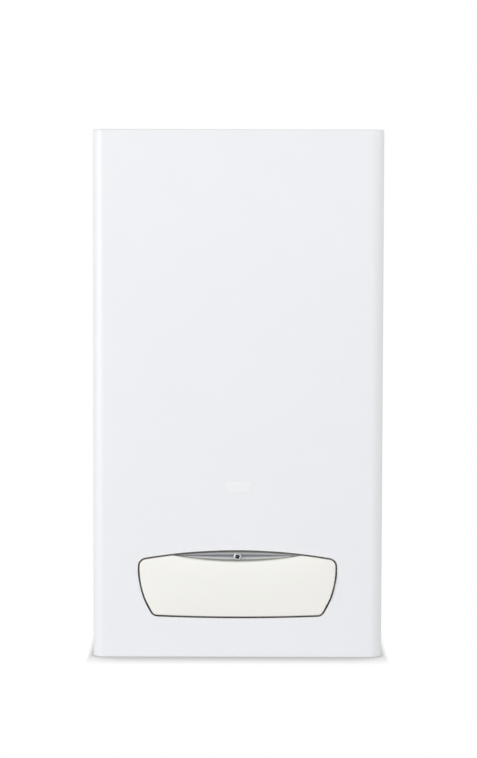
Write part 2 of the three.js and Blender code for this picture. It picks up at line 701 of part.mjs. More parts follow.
// Front of the chamber: a flat rim with a raised pan and the hole of the sight glass.
function chamberCover() {
  const { half, front, floor } = CHAMBER;
  const roof = ROOF_Z - 14;
  const y = front - FIT;
  const pan = (grow) =>
    loft([
      rectangleRing(y + 1 + grow, 172 - grow, [floor + 24 + grow, roof - 24 - grow]),
      rectangleRing(y - 1.2 + grow, 172 - grow, [floor + 24 + grow, roof - 24 - grow]),
      rectangleRing(y - 9 + grow, 162 - grow, [floor + 34 + grow, roof - 34 - grow]),
    ]);
  const rim = block([-half, half], [y - 1.2, y], [floor, roof]);
  const behind = block([-half, half], [y, y + 9], [floor, roof]);
  return cut(
    join(rim, cut(pan(0), behind)),
    pan(1.2),
    block([-170, 170], [y - 0.2, y + 1], [floor + 26, roof - 26]),
    rod("y", 13, [y - 12, y + 1], [0, SIGHT_Z], 16),
  );
}

function sightGlass() {
  const y = CHAMBER.front - FIT - 9;
  const profile = [
    [0, y - 2], [15, y - 2], [17, y - 1.2], [17, y - FIT],
    [12.6, y - FIT], [12.6, y + 2], [0, y + 2],
  ];
  return turned("y", profile, [0, SIGHT_Z], 16);
}

const BLADES = Array.from({ length: 9 }, (_, i) => -100 + 25 * i);

// Rack of burner blades. Each has a horn at the front for gas and air, and ports across
// its top. A rail under the horns and a plate behind tie the blades together.
function burner() {
  const horn = polygon([
    [-88, 306], [-88, 328], [-72, 322], [-60, 325], [-53, 346], [42, 346], [42, 332], [20, 317], [-20, 308],
  ]);
  const rack = BLADES.map((x) => prism("side", horn, [x - 4.5, x + 4.5]));
  const rail = block([-116.5, 116.5], [-70, -58], [304, 309]);
  const rearPlate = block([-116.5, 116.5], [40, 43], [316, 350]);
  const ports = [-28, 4].map((y) => block([-112, 112], [y, y + 6], [339.5, 350]));
  return join(cut(join(...rack), ...ports), rail, rearPlate);
}

// Gas bar with one nozzle for each blade, and its supply pipe from the gas valve.
function gasManifold() {
  const bar = rod("x", SUPPLY.radius, [-116.4, 116.4], [SUPPLY.y, SUPPLY.z], 8);
  const nozzles = BLADES.map((x) => rod("y", 3, [SUPPLY.y + 6, -91], [x, SUPPLY.z], 4));
  const supply = pipe([[0, -8, 216], [0, -8, 262], [0, SUPPLY.y, 262], [0, SUPPLY.y, SUPPLY.z]], 8, 20);
  return join(bar, ...nozzles, supply, rod("z", 12, [215.3, 222], [0, -8], 6));
}

// Firebox of folded steel. Its cheeks stand on the chamber floor and carry the burner.
function firebox() {
  const { half, front, back, bottom, top } = FIREBOX;
  const t = 1.2;
  const floor = CHAMBER.floor + CHAMBER.steel + FIT;
  const cheeks = [-1, 1].map((s) => {
    const x = [s * half, s * (half - t)].sort((a, b) => a - b);
    return prism("side", polygon([
      [-120, floor], [back, floor], [back, top], [front, top], [front, bottom - 12], [-120, bottom - 20],
    ]), x);
  });
  const walls = cut(
    block([-half, half], [front, back], [bottom, top]),
    block([-half + t, half - t], [front + t, back - t], [bottom - 1, top + 1]),
  );
  return cut(join(walls, ...cheeks), rod("y", 11, [front - 1, front + 3], [0, SIGHT_Z], 12));
}

function fibreLining() {
  const { half, front, back, bottom, top } = FIREBOX;
  const gap = 1.2 + FIT;
  const thick = 8;
  const box = (inset, z) => block([-half + inset, half - inset], [front + inset, back - inset], z);
  return cut(
    box(gap, [bottom + 8, top - 1]),
    box(gap + thick, [bottom, top]),
    rod("y", 11, [front, front + 14], [0, SIGHT_Z], 12),
  );
}

const EXCHANGER = { bottom: 440 + FIT, top: 476, tubeZ: 458, tubes: [-81, -53, -25, 3, 31] };

// Finned copper block on five tubes in one run. Bends join neighbouring tubes at
// alternate ends, and a union nut ends the run at each side.
function heatExchanger() {
  const { bottom, top, tubeZ, tubes } = EXCHANGER;
  const { half, front, back } = FIREBOX;
  const slots = Array.from({ length: 8 }, (_, i) => -98 + 28 * i);
  const gaps = slots.flatMap((x) => [
    block([x - 9, x + 9], [front + 6, back - 6], [top - 8, top + 1]),
    block([x - 9, x + 9], [front + 6, back - 6], [bottom - 1, bottom + 8]),
  ]);
  const bends = tubes.slice(1).map((y, i) => {
    const [near, far] = i % 2 ? [2 - half, -136] : [half - 2, 136];
    const route = [[near, tubes[i]], [far, tubes[i]], [far, y], [near, y]];
    return pipe(route.map(([bx, by]) => [bx, by, tubeZ]), 8, 12, 6, 2);
  });
  const ends = [[-1, tubes[0]], [1, tubes.at(-1)]].flatMap(([s, y]) => {
    const across = (near, far) => [s * near, s * far].sort((a, b) => a - b);
    return [
      rod("x", 8, across(half - 2, 149), [y, tubeZ], 8),
      rod("x", 13, across(140, 150), [y, tubeZ], 6),
    ];
  });
  return join(cut(block([-half, half], [front, back], [bottom, top]), ...gaps), ...bends, ...ends);
}

// Sheet hood: it gathers the flue gas and leads it up a flat duct to the fan's eye.
function flueHood() {
  const duct = { x: [-88, -2], y: [FAN.back + FIT, 61], top: 692 };
  const ring = ([x0, x1], [y0, y1], z) => [pt3(x0, y0, z), pt3(x1, y0, z), pt3(x1, y1, z), pt3(x0, y1, z)];
  const base = [[-FIREBOX.half, FIREBOX.half], [FIREBOX.front, FIREBOX.back]];
  const form = (t, start) => {
    const shrink = ([a, b]) => [a + t, b - t];
    return loft([
      ring(...base.map(shrink), start),
      ring(...base.map(shrink), 487),
      ring(shrink(duct.x), shrink(duct.y), 546),
      ring(shrink(duct.x), shrink(duct.y), duct.top - t),
    ]);
  };
  return cut(
    form(0, EXCHANGER.top + FIT),
    form(1.2, EXCHANGER.top - 1),
    rod("y", 31, [FAN.back - 1, FAN.back + 4], [FAN.x, FAN.z], 20),
  );
}

// Scroll outline, seen from the front: the radius grows anticlockwise from the tongue to the
// outlet duct, which rises under the flue.
function scrollOutline(inset) {
  const start = (70 * Math.PI) / 180;
  const steps = 15;
  const spiral = Array.from({ length: steps + 1 }, (_, i) => {
    const share = i / steps;
    const a = start + (2 * Math.PI - start) * share;
    const r = FAN.inner + (FAN.outer - FAN.inner) * share - inset;
    return [FAN.x + r * Math.cos(a), FAN.z + r * Math.sin(a)];
  });
  const right = FAN.x + FAN.outer - inset;
  const leftWall = -30 + inset;
  const top = inset ? 712 : 700;
  return polygon([...spiral, [right, top], [leftWall, top]]);
}

function fanHousing() {
  const { front, back, wall } = FAN;
  const spigot = rod("z", FLUE.spigot, [698, 720], [0, FLUE.y], 24);
  const scroll = prism("front", scrollOutline(0), [front, back]);
  const outer = join(scroll, block([-32, 32], [front, back], [697, 700]), spigot);
  const cavity = cut(
    prism("front", scrollOutline(wall), [front + wall, back - wall]),
    block([-40, 40], [front - 1, back + 1], [697, 730]),
  );
  return cut(
    outer,
    cavity,
    rod("z", 17, [696, 721], [0, (front + back) / 2], 24),
    rod("z", FLUE.spigot - 2, [700, 721], [0, FLUE.y], 24),
    rod("y", 29, [back - 3, back + 1], [FAN.x, FAN.z], 20),
    rod("y", 9, [front - 1, front + 3], [FAN.x, FAN.z]),
  );
}

// Squirrel-cage wheel: forward-curved blades between a back disc and a ring, with its shaft.
function fanWheel() {
  const { radius, root, blades } = FAN_WHEEL;
  const discY = FAN.front + 7;
  const ringY = FAN.back - 6;
  const disc = turned("y", [
    [0, discY - 26], [3, discY - 26], [3, discY - 1], [8, discY - 1], [8, discY], [radius, discY],
    [radius, discY + 1.5], [10, discY + 1.5], [8, discY + 10], [0, discY + 10],
  ], [0, 0], 14);
  const eye = root + 5;
  const ring = turned("y", [
    [eye, ringY - 1.5], [radius, ringY - 1.5], [radius, ringY], [eye, ringY], [eye, ringY - 1.5],
  ], [0, 0], 14);
  const curve = (share, side) => {
    const r = root + (radius - 1.6 - root) * share;
    const a = 0.28 * share * share + side / r;
    return [r * Math.cos(a), r * Math.sin(a)];
  };
  const shares = [0, 0.5, 1];
  const outside = shares.map((share) => curve(share, 1.2)).reverse();
  const section = polygon([...shares.map((share) => curve(share, 0)), ...outside]);
  const vanes = Array.from({ length: blades }, (_, i) => {
    const vane = new THREE.ExtrudeGeometry(section, { depth: ringY - discY - 1, bevelEnabled: false });
    vane.rotateX(Math.PI / 2).translate(0, ringY - 0.5, 0);
    return solid(vane.rotateY((2 * Math.PI * i) / blades));
  });
  return join(disc, ring, ...vanes);
}

function fanMotor() {
  const y = FAN.front - FIT;
  const profile = [[0, y - 50], [24, y - 50], [29, y - 45], [29, y - 8], [24, y - 6], [24, y], [0, y]];
  const can = turned("y", profile, [FAN.x, FAN.z], 16);
  const stack = block([FAN.x - 36, FAN.x + 36], [y - 36, y - 18], [FAN.z - 24, FAN.z + 24]);
  return cut(join(can, stack), rod("y", 3.6, [y - 26, y + 1], [FAN.x, FAN.z], 10));
}

function airPressureSwitch() {
  const x = CHAMBER.half - CHAMBER.steel - FIT;
  const profile = [
    [0, x], [14, x], [14, x - 4], [33, x - 4], [33, x - 14],
    [18, x - 19], [6, x - 20], [4, x - 34], [0, x - 34],
  ].reverse();
  return turned("x", profile, [-40, 640], 14);
}

// Spark and sensing rods through one bracket on the firebox.
function electrodes() {
  const y = FIREBOX.front - FIT;
  const plate = block([-42, -8], [y - 1.4, y], [341, 364]);
  const rods = [-32, -18].flatMap((x) => [
    rod("y", 3.2, [y - 26, -64], [x, 347.4], 6),
    rod("y", 0.9, [-66, -44], [x, 349], 4),
  ]);
  return join(plate, ...rods);
}

// ---------------------------------------------------------------- water and gas
const TAILS = [
  { name: "heating_flow_tail", thread: 13.2, bore: 9.5 },
  { name: "hot_water_tail", thread: 10.4, bore: 7 },
  { name: "gas_tail", thread: 13.2, bore: 9.5 },
  { name: "cold_water_tail", thread: 10.4, bore: 7 },
  { name: "heating_return_tail", thread: 13.2, bore: 9.5 },
];

// Threaded connection with a hexagon under the tray and a neck through it.
function tail({ thread, bore }) {
  const end = TAIL_BOTTOM;
  const neck = TRAY_Z + 2.7;
  const profile = [
    [0, end], [thread - 1, end], [thread, end + 1.2], [thread, end + 19],
    [thread - 1.2, end + 21], [thread - 1.2, neck], [0, neck],
  ].reverse();
  const hexagon = rod("z", 17, [end + 22, TRAY_Z - FIT], [0, 0], 6);
  const body = join(turned("z", profile, [0, 0], 12), hexagon);
  return cut(body, rod("z", bore, [end - 1, end + 26], [0, 0], 12));
}

const BLOCK_BOTTOM = TRAY_Z + 2.7 + FIT;
const DIVERTER = { x: -97, y: 66, bottom: 72, top: 140 };

const stub = (x, y, radius, z0, z1) => rod("z", radius, [z0, z1], [x, y], 8);

// Left-hand brass block: heating flow and hot water outlets, with the diverter's chamber.
function flowBlock() {
  const { x, y, bottom, top } = DIVERTER;
  const barrel = rod("x", BARREL.radius, [-152, -46], [BARREL.y, BARREL.z], 10);
  const valve = turned("z", [
    [0, bottom], [15, bottom], [17, bottom + 3], [17, top - 6], [20, top - 6], [20, top], [0, top],
  ], [x, y], 10);
  return cut(
    join(
      barrel,
      stub(tailX(0), TAIL_Y, 15, BLOCK_BOTTOM, BARREL.z),
      stub(tailX(1), TAIL_Y, 13, BLOCK_BOTTOM, BARREL.z),
      stub(tailX(0), TAIL_Y, 12, BARREL.z, 130),
      stub(-75, TAIL_Y, 9, BARREL.z, 125.7),
      block([x - 13, x + 13], [y, BARREL.y], [78, 102]),
      valve,
    ),
    rod("z", 5, [94, top + 1], [x, y]),
  );
}

function diverterSpindle() {
  const { top } = DIVERTER;
  return turned("z", [
    [0, 100], [4.4, 100], [4.4, 108], [3, 109], [3, top + 14], [0, top + 14],
  ], [DIVERTER.x, DIVERTER.y], 12);
}

function diverterMotor() {
  const { x, y, top } = DIVERTER;
  const z = top + FIT;
  const body = prism("plan", roundedRectangle([x - 22, x + 22], [y - 22, y + 22], 6), [z, z + 46], 3);
  const socket = block([x - 12, x + 12], [y - 27, y - 20], [z + 26, z + 40]);
  return cut(join(body, socket), rod("z", 3.7, [z - 1, z + 15], [x, y], 10));
}

const SAFETY = { x: 148, z: 86 };

// Right-hand block: cold inlet, heating return, the pump's seat and the filling valve.
function returnBlock() {
  const barrel = rod("x", BARREL.radius, [48, 154], [BARREL.y, BARREL.z], 10);
  return join(
    barrel,
    stub(tailX(3), TAIL_Y, 13, BLOCK_BOTTOM, BARREL.z),
    stub(tailX(4), TAIL_Y, 15, BLOCK_BOTTOM, BARREL.z),
    stub(75, TAIL_Y, 9, BARREL.z, 125.7),
    stub(FILLING_X, TAIL_Y, 7, 47, BARREL.z),
    stub(VESSEL_PORT.x, VESSEL.y, 8, BARREL.z, VESSEL_UNION_Z),
    rod("y", 13, [PUMP.y, BARREL.y], [PUMP.x, BARREL.z - 2], 12),
    stub(PUMP.x, PUMP.y, 15, BARREL.z - 13, PUMP.z - PUMP.radius - FIT - 0.4),
  );
}

function fillingKnob() {
  const profile = [[0, 27], [10, 27], [11, 28.5], [11, 39], [9, 41], [6, 46.4], [0, 46.4]];
  const grips = Array.from({ length: 6 }, (_, i) => {
    const a = (Math.PI * i) / 3;
    return rod("z", 2, [26, 41.5], [11.8 * Math.cos(a), 11.8 * Math.sin(a)], 6);
  });
  return cut(turned("z", profile, [0, 0], 12), ...grips);
}

function safetyValve() {
  const profile = [
    [0, 82], [9, 82], [9, 72], [12, 72], [12, 52], [10, 48], [10, 34], [0, 34],
  ].reverse();
  const outlet = rod("x", 6, [SAFETY.x, SAFETY.x + 24], [62, SAFETY.z], 10);
  return join(turned("y", profile, [SAFETY.x, SAFETY.z], 12), outlet);
}

function safetyKnob() {
  const profile = [[0, -16], [12, -16], [14, -14], [14, -4], [11, 0], [0, 0]];
  const grips = Array.from({ length: 6 }, (_, i) => {
    const a = (Math.PI * i) / 3;
    return rod("y", 3, [-17, -5], [15 * Math.cos(a), 15 * Math.sin(a)], 6);
  });
  return cut(turned("y", profile, [0, 0], 12), ...grips);
}

// Cast volute, open to the front for the wheel, with its ports above and below.
function pumpBody() {
  const { x, y, z, radius } = PUMP;
  const bowl = turned("y", [
    [0, y + 24], [30, y + 24], [radius - 4, y + 18], [radius, y + 10], [radius, y - 18], [0, y - 18],
  ].reverse(), [x, z], 18);
  const ports = join(
    rod("z", 18, [z - radius - 0.3, z - radius + 8], [x, y], 6),
    rod("z", 15, [z + radius - 8, z + radius + 0.3], [x, y], 6),
  );
  const vent = rod("z", 9, [z + 20, z + radius - 0.3], [x + 34, y + 4], 10);
  return cut(join(bowl, ports, vent), rod("y", 34, [y - 19, y + 12], [x, z], 18));
}

function pumpWheel() {
  const vane = (i) => {
    const g = new THREE.BoxGeometry(15, 9, 1.6).translate(20, -10.5, 5).rotateY((Math.PI * 2 * i) / 5);
    return solid(g);
  };
  const shroud = turned("y", [
    [0, 0], [10, 0], [30, -4], [30, -6.5], [4, -6.5], [4, -50], [0, -50],
  ].reverse(), [0, 0], 15);
  return join(shroud, ...Array.from({ length: 5 }, (_, i) => vane(i)));
}

function pumpMotor() {
  const { x, y, z, radius } = PUMP;
  const seat = y - 18 - FIT;
  const can = turned("y", [
    [0, seat], [radius, seat], [radius, seat - 5], [40, seat - 8], [40, seat - 58],
    [36, seat - 64], [10, seat - 64], [10, seat - 67], [0, seat - 67],
  ].reverse(), [x, z], 16);
  const terminals = block([x - 26, x + 26], [seat - 50, seat - 12], [z + 30, z + 52]);
  return cut(join(can, terminals), rod("y", 4.6, [seat - 24, seat + 1], [x, z], 12));
}

function airVent() {
  const base = PUMP.z + PUMP.radius;
  const profile = [
    [0, base], [8, base], [8, base + 3], [13, base + 5],
    [13, base + 26], [5, base + 29], [5, base + 32], [0, base + 32],
  ];
  return turned("z", profile, [PUMP.x + 34, PUMP.y + 4], 12);
}

// Brazed stack of plates, whose edges show as a comb along the two long sides.
function plateExchanger() {
  const [y0, y1, z0, z1] = [92, 132, 126, 196];
  const plates = 6;
  const pitch = (y1 - y0) / plates;
  const teeth = (z, depth, order) => {
    const points = order.flatMap((i) => {
      const y = (share) => y0 + (i + share) * pitch;
      const tooth = [[y(0.2), z], [y(0.6), z], [y(0.7), z + depth], [y(0.95), z + depth]];
      return order[0] ? tooth.reverse() : tooth;
    });
    return points;
  };
  const forwards = Array.from({ length: plates }, (_, i) => i);
  const section = polygon([...teeth(z0, 3, forwards), ...teeth(z1, -3, [...forwards].reverse())]);
  return prism("side", section, [-90, 90]);
}

// Gas valve: cast body with two solenoids on its front and the regulator's cap on top.
function gasValve() {
  const body = prism("plan", roundedRectangle([-36, 36], [-42, 20], 5), [150, 206], 2);
  return join(
    body,
    rod("z", 14, [146, 152], [0, -8], 6),
    rod("z", 13, [204, 215], [0, -8], 6),
    rod("y", 12, [-58, -40], [-18, 178], 10),
    rod("y", 12, [-58, -40], [18, 178], 10),
    turned("z", [[0, 204], [10, 204], [10, 216], [8, 218], [0, 218]], [24, -28], 10),
  );
}

const VESSEL = { x: 0, y: BACK_CLEAR - 36, z: 470, radius: 160, half: 36 };
const VESSEL_PORT = { x: 100 };
const VESSEL_UNION_Z = BARREL.z + BARREL.radius + 6;

// Flat expansion vessel: two dished shells seamed at the rim, with the water port below.
function expansionVessel() {
  const { x, y, z, radius, half } = VESSEL;
  const r = radius - 6;
  const dished = [
    [0, y - half], [r * 0.7, y - half + 2], [r * 0.93, y - half + 7], [r, y - half + 20],
    [r, y + half - 20], [r * 0.93, y + half - 7], [r * 0.7, y + half - 2], [0, y + half],
  ];
  const inside = [
    [0, y - 34], [105, y - 32.5], [148, y - 20], [148, y + 20], [105, y + 32.5], [0, y + 34],
  ];
  const band = [[150, y - 2.5], [radius, y - 2.5], [radius, y + 2.5], [150, y + 2.5], [150, y - 2.5]];
  const seam = turned("y", band, [x, z], 20);
  const port = rod("z", 9, [VESSEL_TAIL_Z, z - 100], [VESSEL_PORT.x, y], 6);
  return cut(
    join(turned("y", dished, [x, z], 24), seam, port),
    turned("y", inside, [x, z], 12),
    rod("z", 4, [VESSEL_TAIL_Z - 1, z - 75], [VESSEL_PORT.x, y], 6),
  );
}

const VESSEL_TAIL_Z = 334;
const UNION_X = 150 + FIT; // the exchanger's union nuts end just before it

// A riser leaves the exchanger, drops through the chamber floor and turns to (x, y) below.
function riserPipe({ x, y }, turnZ, [endX, endY, endZ]) {
  const start = [Math.sign(x) * UNION_X, y, EXCHANGER.tubeZ];
  const down = [[x, y, EXCHANGER.tubeZ], [x, y, turnZ]];
  return pipe([start, ...down, [endX, endY, turnZ], [endX, endY, endZ]], 8, 18);
}

const flowPipe = () => riserPipe(RISERS[0], 205, [tailX(0), TAIL_Y, 130 + FIT]);
const returnPipe = () =>
  riserPipe(RISERS[1], 242, [PUMP.x, PUMP.y, PUMP.z + PUMP.radius + 2 * FIT]);
const gasPipe = () =>
  pipe([[0, TAIL_Y, TRAY_Z + 3.1], [0, TAIL_Y, 84], [0, -8, 84], [0, -8, 145.6]], 9, 18);
const vesselPipe = () =>
  rod("z", 5, [VESSEL_UNION_Z + FIT, VESSEL_TAIL_Z - FIT], [VESSEL_PORT.x, VESSEL.y], 8);
const capillary = () =>
  pipe([
    [GAUGE.x, PANEL_Y + 11, GAUGE.z - GAUGE.radius - 6.4], [GAUGE.x, PANEL_Y + 11, 51],
    [GAUGE.x, -84, 51], [GAUGE.x, -84, 34], [GAUGE.x, PUMP.y, 34], [GAUGE.x, PUMP.y, 84],
    [PUMP.x - 15 - FIT, PUMP.y, 84],
  ], 1.6, 6, 6, 2);

// ---------------------------------------------------------------- assembly
const boiler = new THREE.Group();

// Adds a named piece to a group. Its geometry is given in the group's own frame.
function add(group, name, body, material, position = [0, 0, 0]) {
  const { vertProperties, numProp, triVerts } = body.getMesh();
  const positions = new Float32Array((vertProperties.length / numProp) * 3);
  for (let i = 0; i < positions.length / 3; i++) {
    positions.set(vertProperties.subarray(i * numProp, i * numProp + 3), i * 3);
  }
  const g = new THREE.BufferGeometry().setAttribute("position", new THREE.BufferAttribute(positions, 3));
  g.setIndex(new THREE.BufferAttribute(triVerts, 1));
  const mesh = new THREE.Mesh(toCreasedNormals(g, Math.PI / 6), material);
  mesh.name = name;
  mesh.position.set(...position);
  group.add(mesh);
  return mesh;
}

function subassembly(...pieces) {
  const group = new THREE.Group();
  pieces.forEach(([name, body, material, position]) => add(group, name, body, material, position));
  boiler.add(group);
}

subassembly(
  ["front_casing", frontCasing(), FINISH.casing],
  ["back_frame", backFrame(), FINISH.galvanised],
  ["top_panel", topPanel(), FINISH.casing],
  ["intake_blank", intakeBlank(), FINISH.galvanised],
  ["connection_tray", connectionTray(), FINISH.galvanised],
);

const knobBody = knob();
const gaugeAt = [GAUGE.x, 0, GAUGE.z];
subassembly(
  ["control_door", controlDoor(), FINISH.door],
  ["control_fascia", controlFascia(), FINISH.panel],
  ["grip_scoop", gripScoop(), FINISH.silver],
  ["status_lens", statusLens(), FINISH.dark],
  ...KNOBS.map(({ name, x }) => [name, knobBody, FINISH.dark, [x, PANEL_Y - FIT, KNOB_Z]]),
  ["gauge_case", gaugeCase(), FINISH.dark, gaugeAt],
  ["gauge_dial", gaugeDial(), FINISH.dial, gaugeAt],
  ["gauge_needle", gaugeNeedle(), FINISH.red, gaugeAt],
  ["gauge_window", gaugeWindow(), FINISH.clear, gaugeAt],
  ["lamp_strip", lampStrip(), FINISH.clear],
  ["control_box", controlBox(), FINISH.box],
  ["control_box_lid", controlBoxLid(), FINISH.box],
  ["circuit_board", circuitBoard(), FINISH.board],
  ["cable_gland", cableGland(), FINISH.dark],
);

subassembly(
  ["chamber_shell", chamberShell(), FINISH.galvanised],
  ["chamber_cover", chamberCover(), FINISH.galvanised],
  ["sight_glass", sightGlass(), FINISH.clear],
  ["burner", burner(), FINISH.steel],
  ["gas_manifold", gasManifold(), FINISH.steel],
  ["firebox", firebox(), FINISH.aluminised],
  ["fibre_lining", fibreLining(), FINISH.fibre],
  ["heat_exchanger", heatExchanger(), FINISH.copper],
  ["flue_hood", flueHood(), FINISH.aluminised],
  ["fan_housing", fanHousing(), FINISH.galvanised],
  ["fan_wheel", fanWheel(), FINISH.galvanised, [FAN.x, 0, FAN.z]],
  ["fan_motor", fanMotor(), FINISH.castIron],
  ["air_pressure_switch", airPressureSwitch(), FINISH.dark],
  ["electrodes", electrodes(), FINISH.ceramic],
);

subassembly(
  ...TAILS.map((t, i) => [t.name, tail(t), FINISH.brass, [tailX(i), TAIL_Y, 0]]),
  ["flow_block", flowBlock(), FINISH.brass],
  ["return_block", returnBlock(), FINISH.brass],
  ["filling_knob", fillingKnob(), FINISH.blue, [FILLING_X, TAIL_Y, 0]],
  ["diverter_spindle", diverterSpindle(), FINISH.steel],
  ["diverter_motor", diverterMotor(), FINISH.dark],
  ["safety_valve", safetyValve(), FINISH.brass],
  ["safety_knob", safetyKnob(), FINISH.red, [SAFETY.x, 34 - FIT, SAFETY.z]],
  ["pump_body", pumpBody(), FINISH.castIron],
  ["pump_wheel", pumpWheel(), FINISH.steel, [PUMP.x, PUMP.y + 8, PUMP.z]],
  ["pump_motor", pumpMotor(), FINISH.castIron],
  ["air_vent", airVent(), FINISH.brass],
  ["plate_exchanger", plateExchanger(), FINISH.steel],
  ["gas_valve", gasValve(), FINISH.steel],
  ["expansion_vessel", expansionVessel(), FINISH.vessel],
  ["flow_pipe", flowPipe(), FINISH.copper],
  ["return_pipe", returnPipe(), FINISH.copper],
  ["gas_pipe", gasPipe(), FINISH.copper],
  ["vessel_pipe", vesselPipe(), FINISH.copper],
  ["gauge_capillary", capillary(), FINISH.copper],
);

export default boiler;
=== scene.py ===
"""A wall-hung combi boiler with a fold-down control door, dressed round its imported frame.

Every size is in metres in the frame's own axes: +X to the right of someone facing the
boiler, -Y out of its painted front, +Z up. New pieces are surfaces worked out with numpy.
"""

import json
import math

import bmesh
import bpy
import numpy as np
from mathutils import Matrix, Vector
from mathutils.geometry import tessellate_polygon


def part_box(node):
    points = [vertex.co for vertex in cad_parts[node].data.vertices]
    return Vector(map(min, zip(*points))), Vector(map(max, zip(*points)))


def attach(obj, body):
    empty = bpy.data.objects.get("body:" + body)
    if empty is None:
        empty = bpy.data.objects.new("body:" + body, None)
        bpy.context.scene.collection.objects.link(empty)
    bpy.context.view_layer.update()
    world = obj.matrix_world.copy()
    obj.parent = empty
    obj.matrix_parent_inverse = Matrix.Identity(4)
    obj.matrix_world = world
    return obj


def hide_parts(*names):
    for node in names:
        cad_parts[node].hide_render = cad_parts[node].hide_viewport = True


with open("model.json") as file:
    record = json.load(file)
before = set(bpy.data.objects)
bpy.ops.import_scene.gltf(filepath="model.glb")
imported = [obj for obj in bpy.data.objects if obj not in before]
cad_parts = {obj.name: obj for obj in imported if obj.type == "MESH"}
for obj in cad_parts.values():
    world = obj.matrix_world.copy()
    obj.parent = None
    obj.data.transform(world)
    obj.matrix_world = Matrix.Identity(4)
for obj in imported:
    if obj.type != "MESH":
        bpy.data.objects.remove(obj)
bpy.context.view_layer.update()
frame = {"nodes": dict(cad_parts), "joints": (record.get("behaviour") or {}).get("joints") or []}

bl_info = {
    "name": "Combi boiler",
    "version": (1, 0, 0),
    "blender": (4, 5, 0),
    "location": "View3D > Sidebar > Boiler",
    "description": "Builds the visible pieces of a wall-hung combi boiler round its frame",
    "category": "Add Mesh",
}

MM = 0.001
TAU = 2 * math.pi

# ---------------------------------------------------------------- places, from the frame
CASING_LOW, CASING_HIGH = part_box("front_casing")
HALF_WIDTH = CASING_HIGH[0]
HEIGHT = CASING_HIGH[2]
FRONT = CASING_LOW[1]
CASING_REAR = CASING_HIGH[1]
AXES = {joint["name"]: np.array(joint["pos_m"]) for joint in frame["joints"] if "pos_m" in joint}

SHEET = 1.2 * MM
CORNER_RADIUS = 16 * MM
FOLD_RADIUS = 2.2 * MM
RIM = 14 * MM

# Control opening: four large arcs, with small ones round its corners.
OPENING = {
    "half_width": 138 * MM,
    "widest_at": 124 * MM,
    "side_radius": 115 * MM,
    "top": 150 * MM,
    "arch_radius": 760 * MM,
    "bottom": 54.8 * MM,
    "sole_radius": 2750 * MM,
    "top_corner": 12 * MM,
    "bottom_corner": 11 * MM,
}
DOOR_GAP = 2.4 * MM
DOOR_CENTRE = 97 * MM
DOOR_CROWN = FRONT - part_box("control_door")[0][1]
DOOR_WALL = 2.5 * MM
DOOR_RELIEF = 0.45 * MM  # drawn in beside the hinge, so that the open door clears the casing
RELIEF_AT = 72.5 * MM
RELIEF_REACH = 5 * MM
BITE_BOTTOM = 134 * MM
BITE_RADIUS = 470 * MM
PANEL_Y = FRONT + 23 * MM

# ---------------------------------------------------------------- surfaces
def grid(points, wrap_rows=False, wrap_columns=False):
    """A (rows, columns, 3) array of points as vertices and the quads between neighbours."""
    rows, columns, _ = points.shape
    index = np.arange(rows * columns).reshape(rows, columns)
    if wrap_rows:
        index = np.vstack([index, index[:1]])
    if wrap_columns:
        index = np.hstack([index, index[:, :1]])
    corners = [index[:-1, :-1], index[:-1, 1:], index[1:, 1:], index[1:, :-1]]
    return points.reshape(-1, 3), np.stack(corners, axis=-1).reshape(-1, 4)


def eased(points, radius, steps=4, closed=False):
    """A line of points with its corners rounded: each corner is swapped for the parabola that
    leaves one side and meets the other at the radius from the corner, or at 0.45 of the side."""
    corner = np.asarray(points, float)

    def towards(other):
        way = other - corner
        length = np.maximum(np.linalg.norm(way, axis=1, keepdims=True), 1e-9)
        return corner + way * np.minimum(radius, 0.45 * length) / length

    start = towards(np.roll(corner, 1, axis=0))[:, None]
    end = towards(np.roll(corner, -1, axis=0))[:, None]
    t = np.linspace(0, 1, steps + 1)[None, :, None]
    arcs = (1 - t) ** 2 * start + 2 * t * (1 - t) * corner[:, None] + t**2 * end
    if closed:
        return arcs.reshape(-1, corner.shape[1])
    inner = arcs[1:-1].reshape(-1, corner.shape[1])
    return np.vstack([corner[:1], inner, corner[-1:]])


def revolve(profile, axis="z", centre=(0, 0), steps=64, swell=None):
    """A profile of (radius, place along the axis) carried round the axis through centre.
    Where swell is given, radius = swell(angle, radius, place), worked out on the whole grid."""
    radius, place = np.asarray(profile, float).T
    angle = np.linspace(0, TAU, steps, endpoint=False)
    r, a = np.meshgrid(radius, angle, indexing="ij")
    h = np.repeat(place[:, None], steps, axis=1)
    if swell:
        r = swell(a, r, h)
    across, up = centre[0] + r * np.cos(a), centre[1] + r * np.sin(a)
    order = {"x": (h, across, up), "y": (across, h, up), "z": (across, up, h)}[axis]
    return grid(np.stack(order, axis=-1), wrap_columns=True)


def tube(route, radius, bend, sides=24, steps=8):
    """A round tube: the route's corners are eased, and a circle stands square to the path at
    each of its points. Both ends are closed by a circle of no size."""
    path = eased(route, bend, steps)
    along = np.gradient(path, axis=0)
    along /= np.linalg.norm(along, axis=1, keepdims=True)
    side = np.cross(along, (0.31, 0.17, 0.93))
    side /= np.linalg.norm(side, axis=1, keepdims=True)
    up = np.cross(along, side)
    a = np.linspace(0, TAU, sides, endpoint=False)[None, :, None]
    ring = side[:, None] * np.cos(a) + up[:, None] * np.sin(a)
    body = path[:, None] + radius * ring
    ends = [np.repeat(p[None, None], sides, axis=1) for p in (path[0], path[-1])]
    return grid(np.concatenate([ends[0], body, ends[1]]), wrap_columns=True)


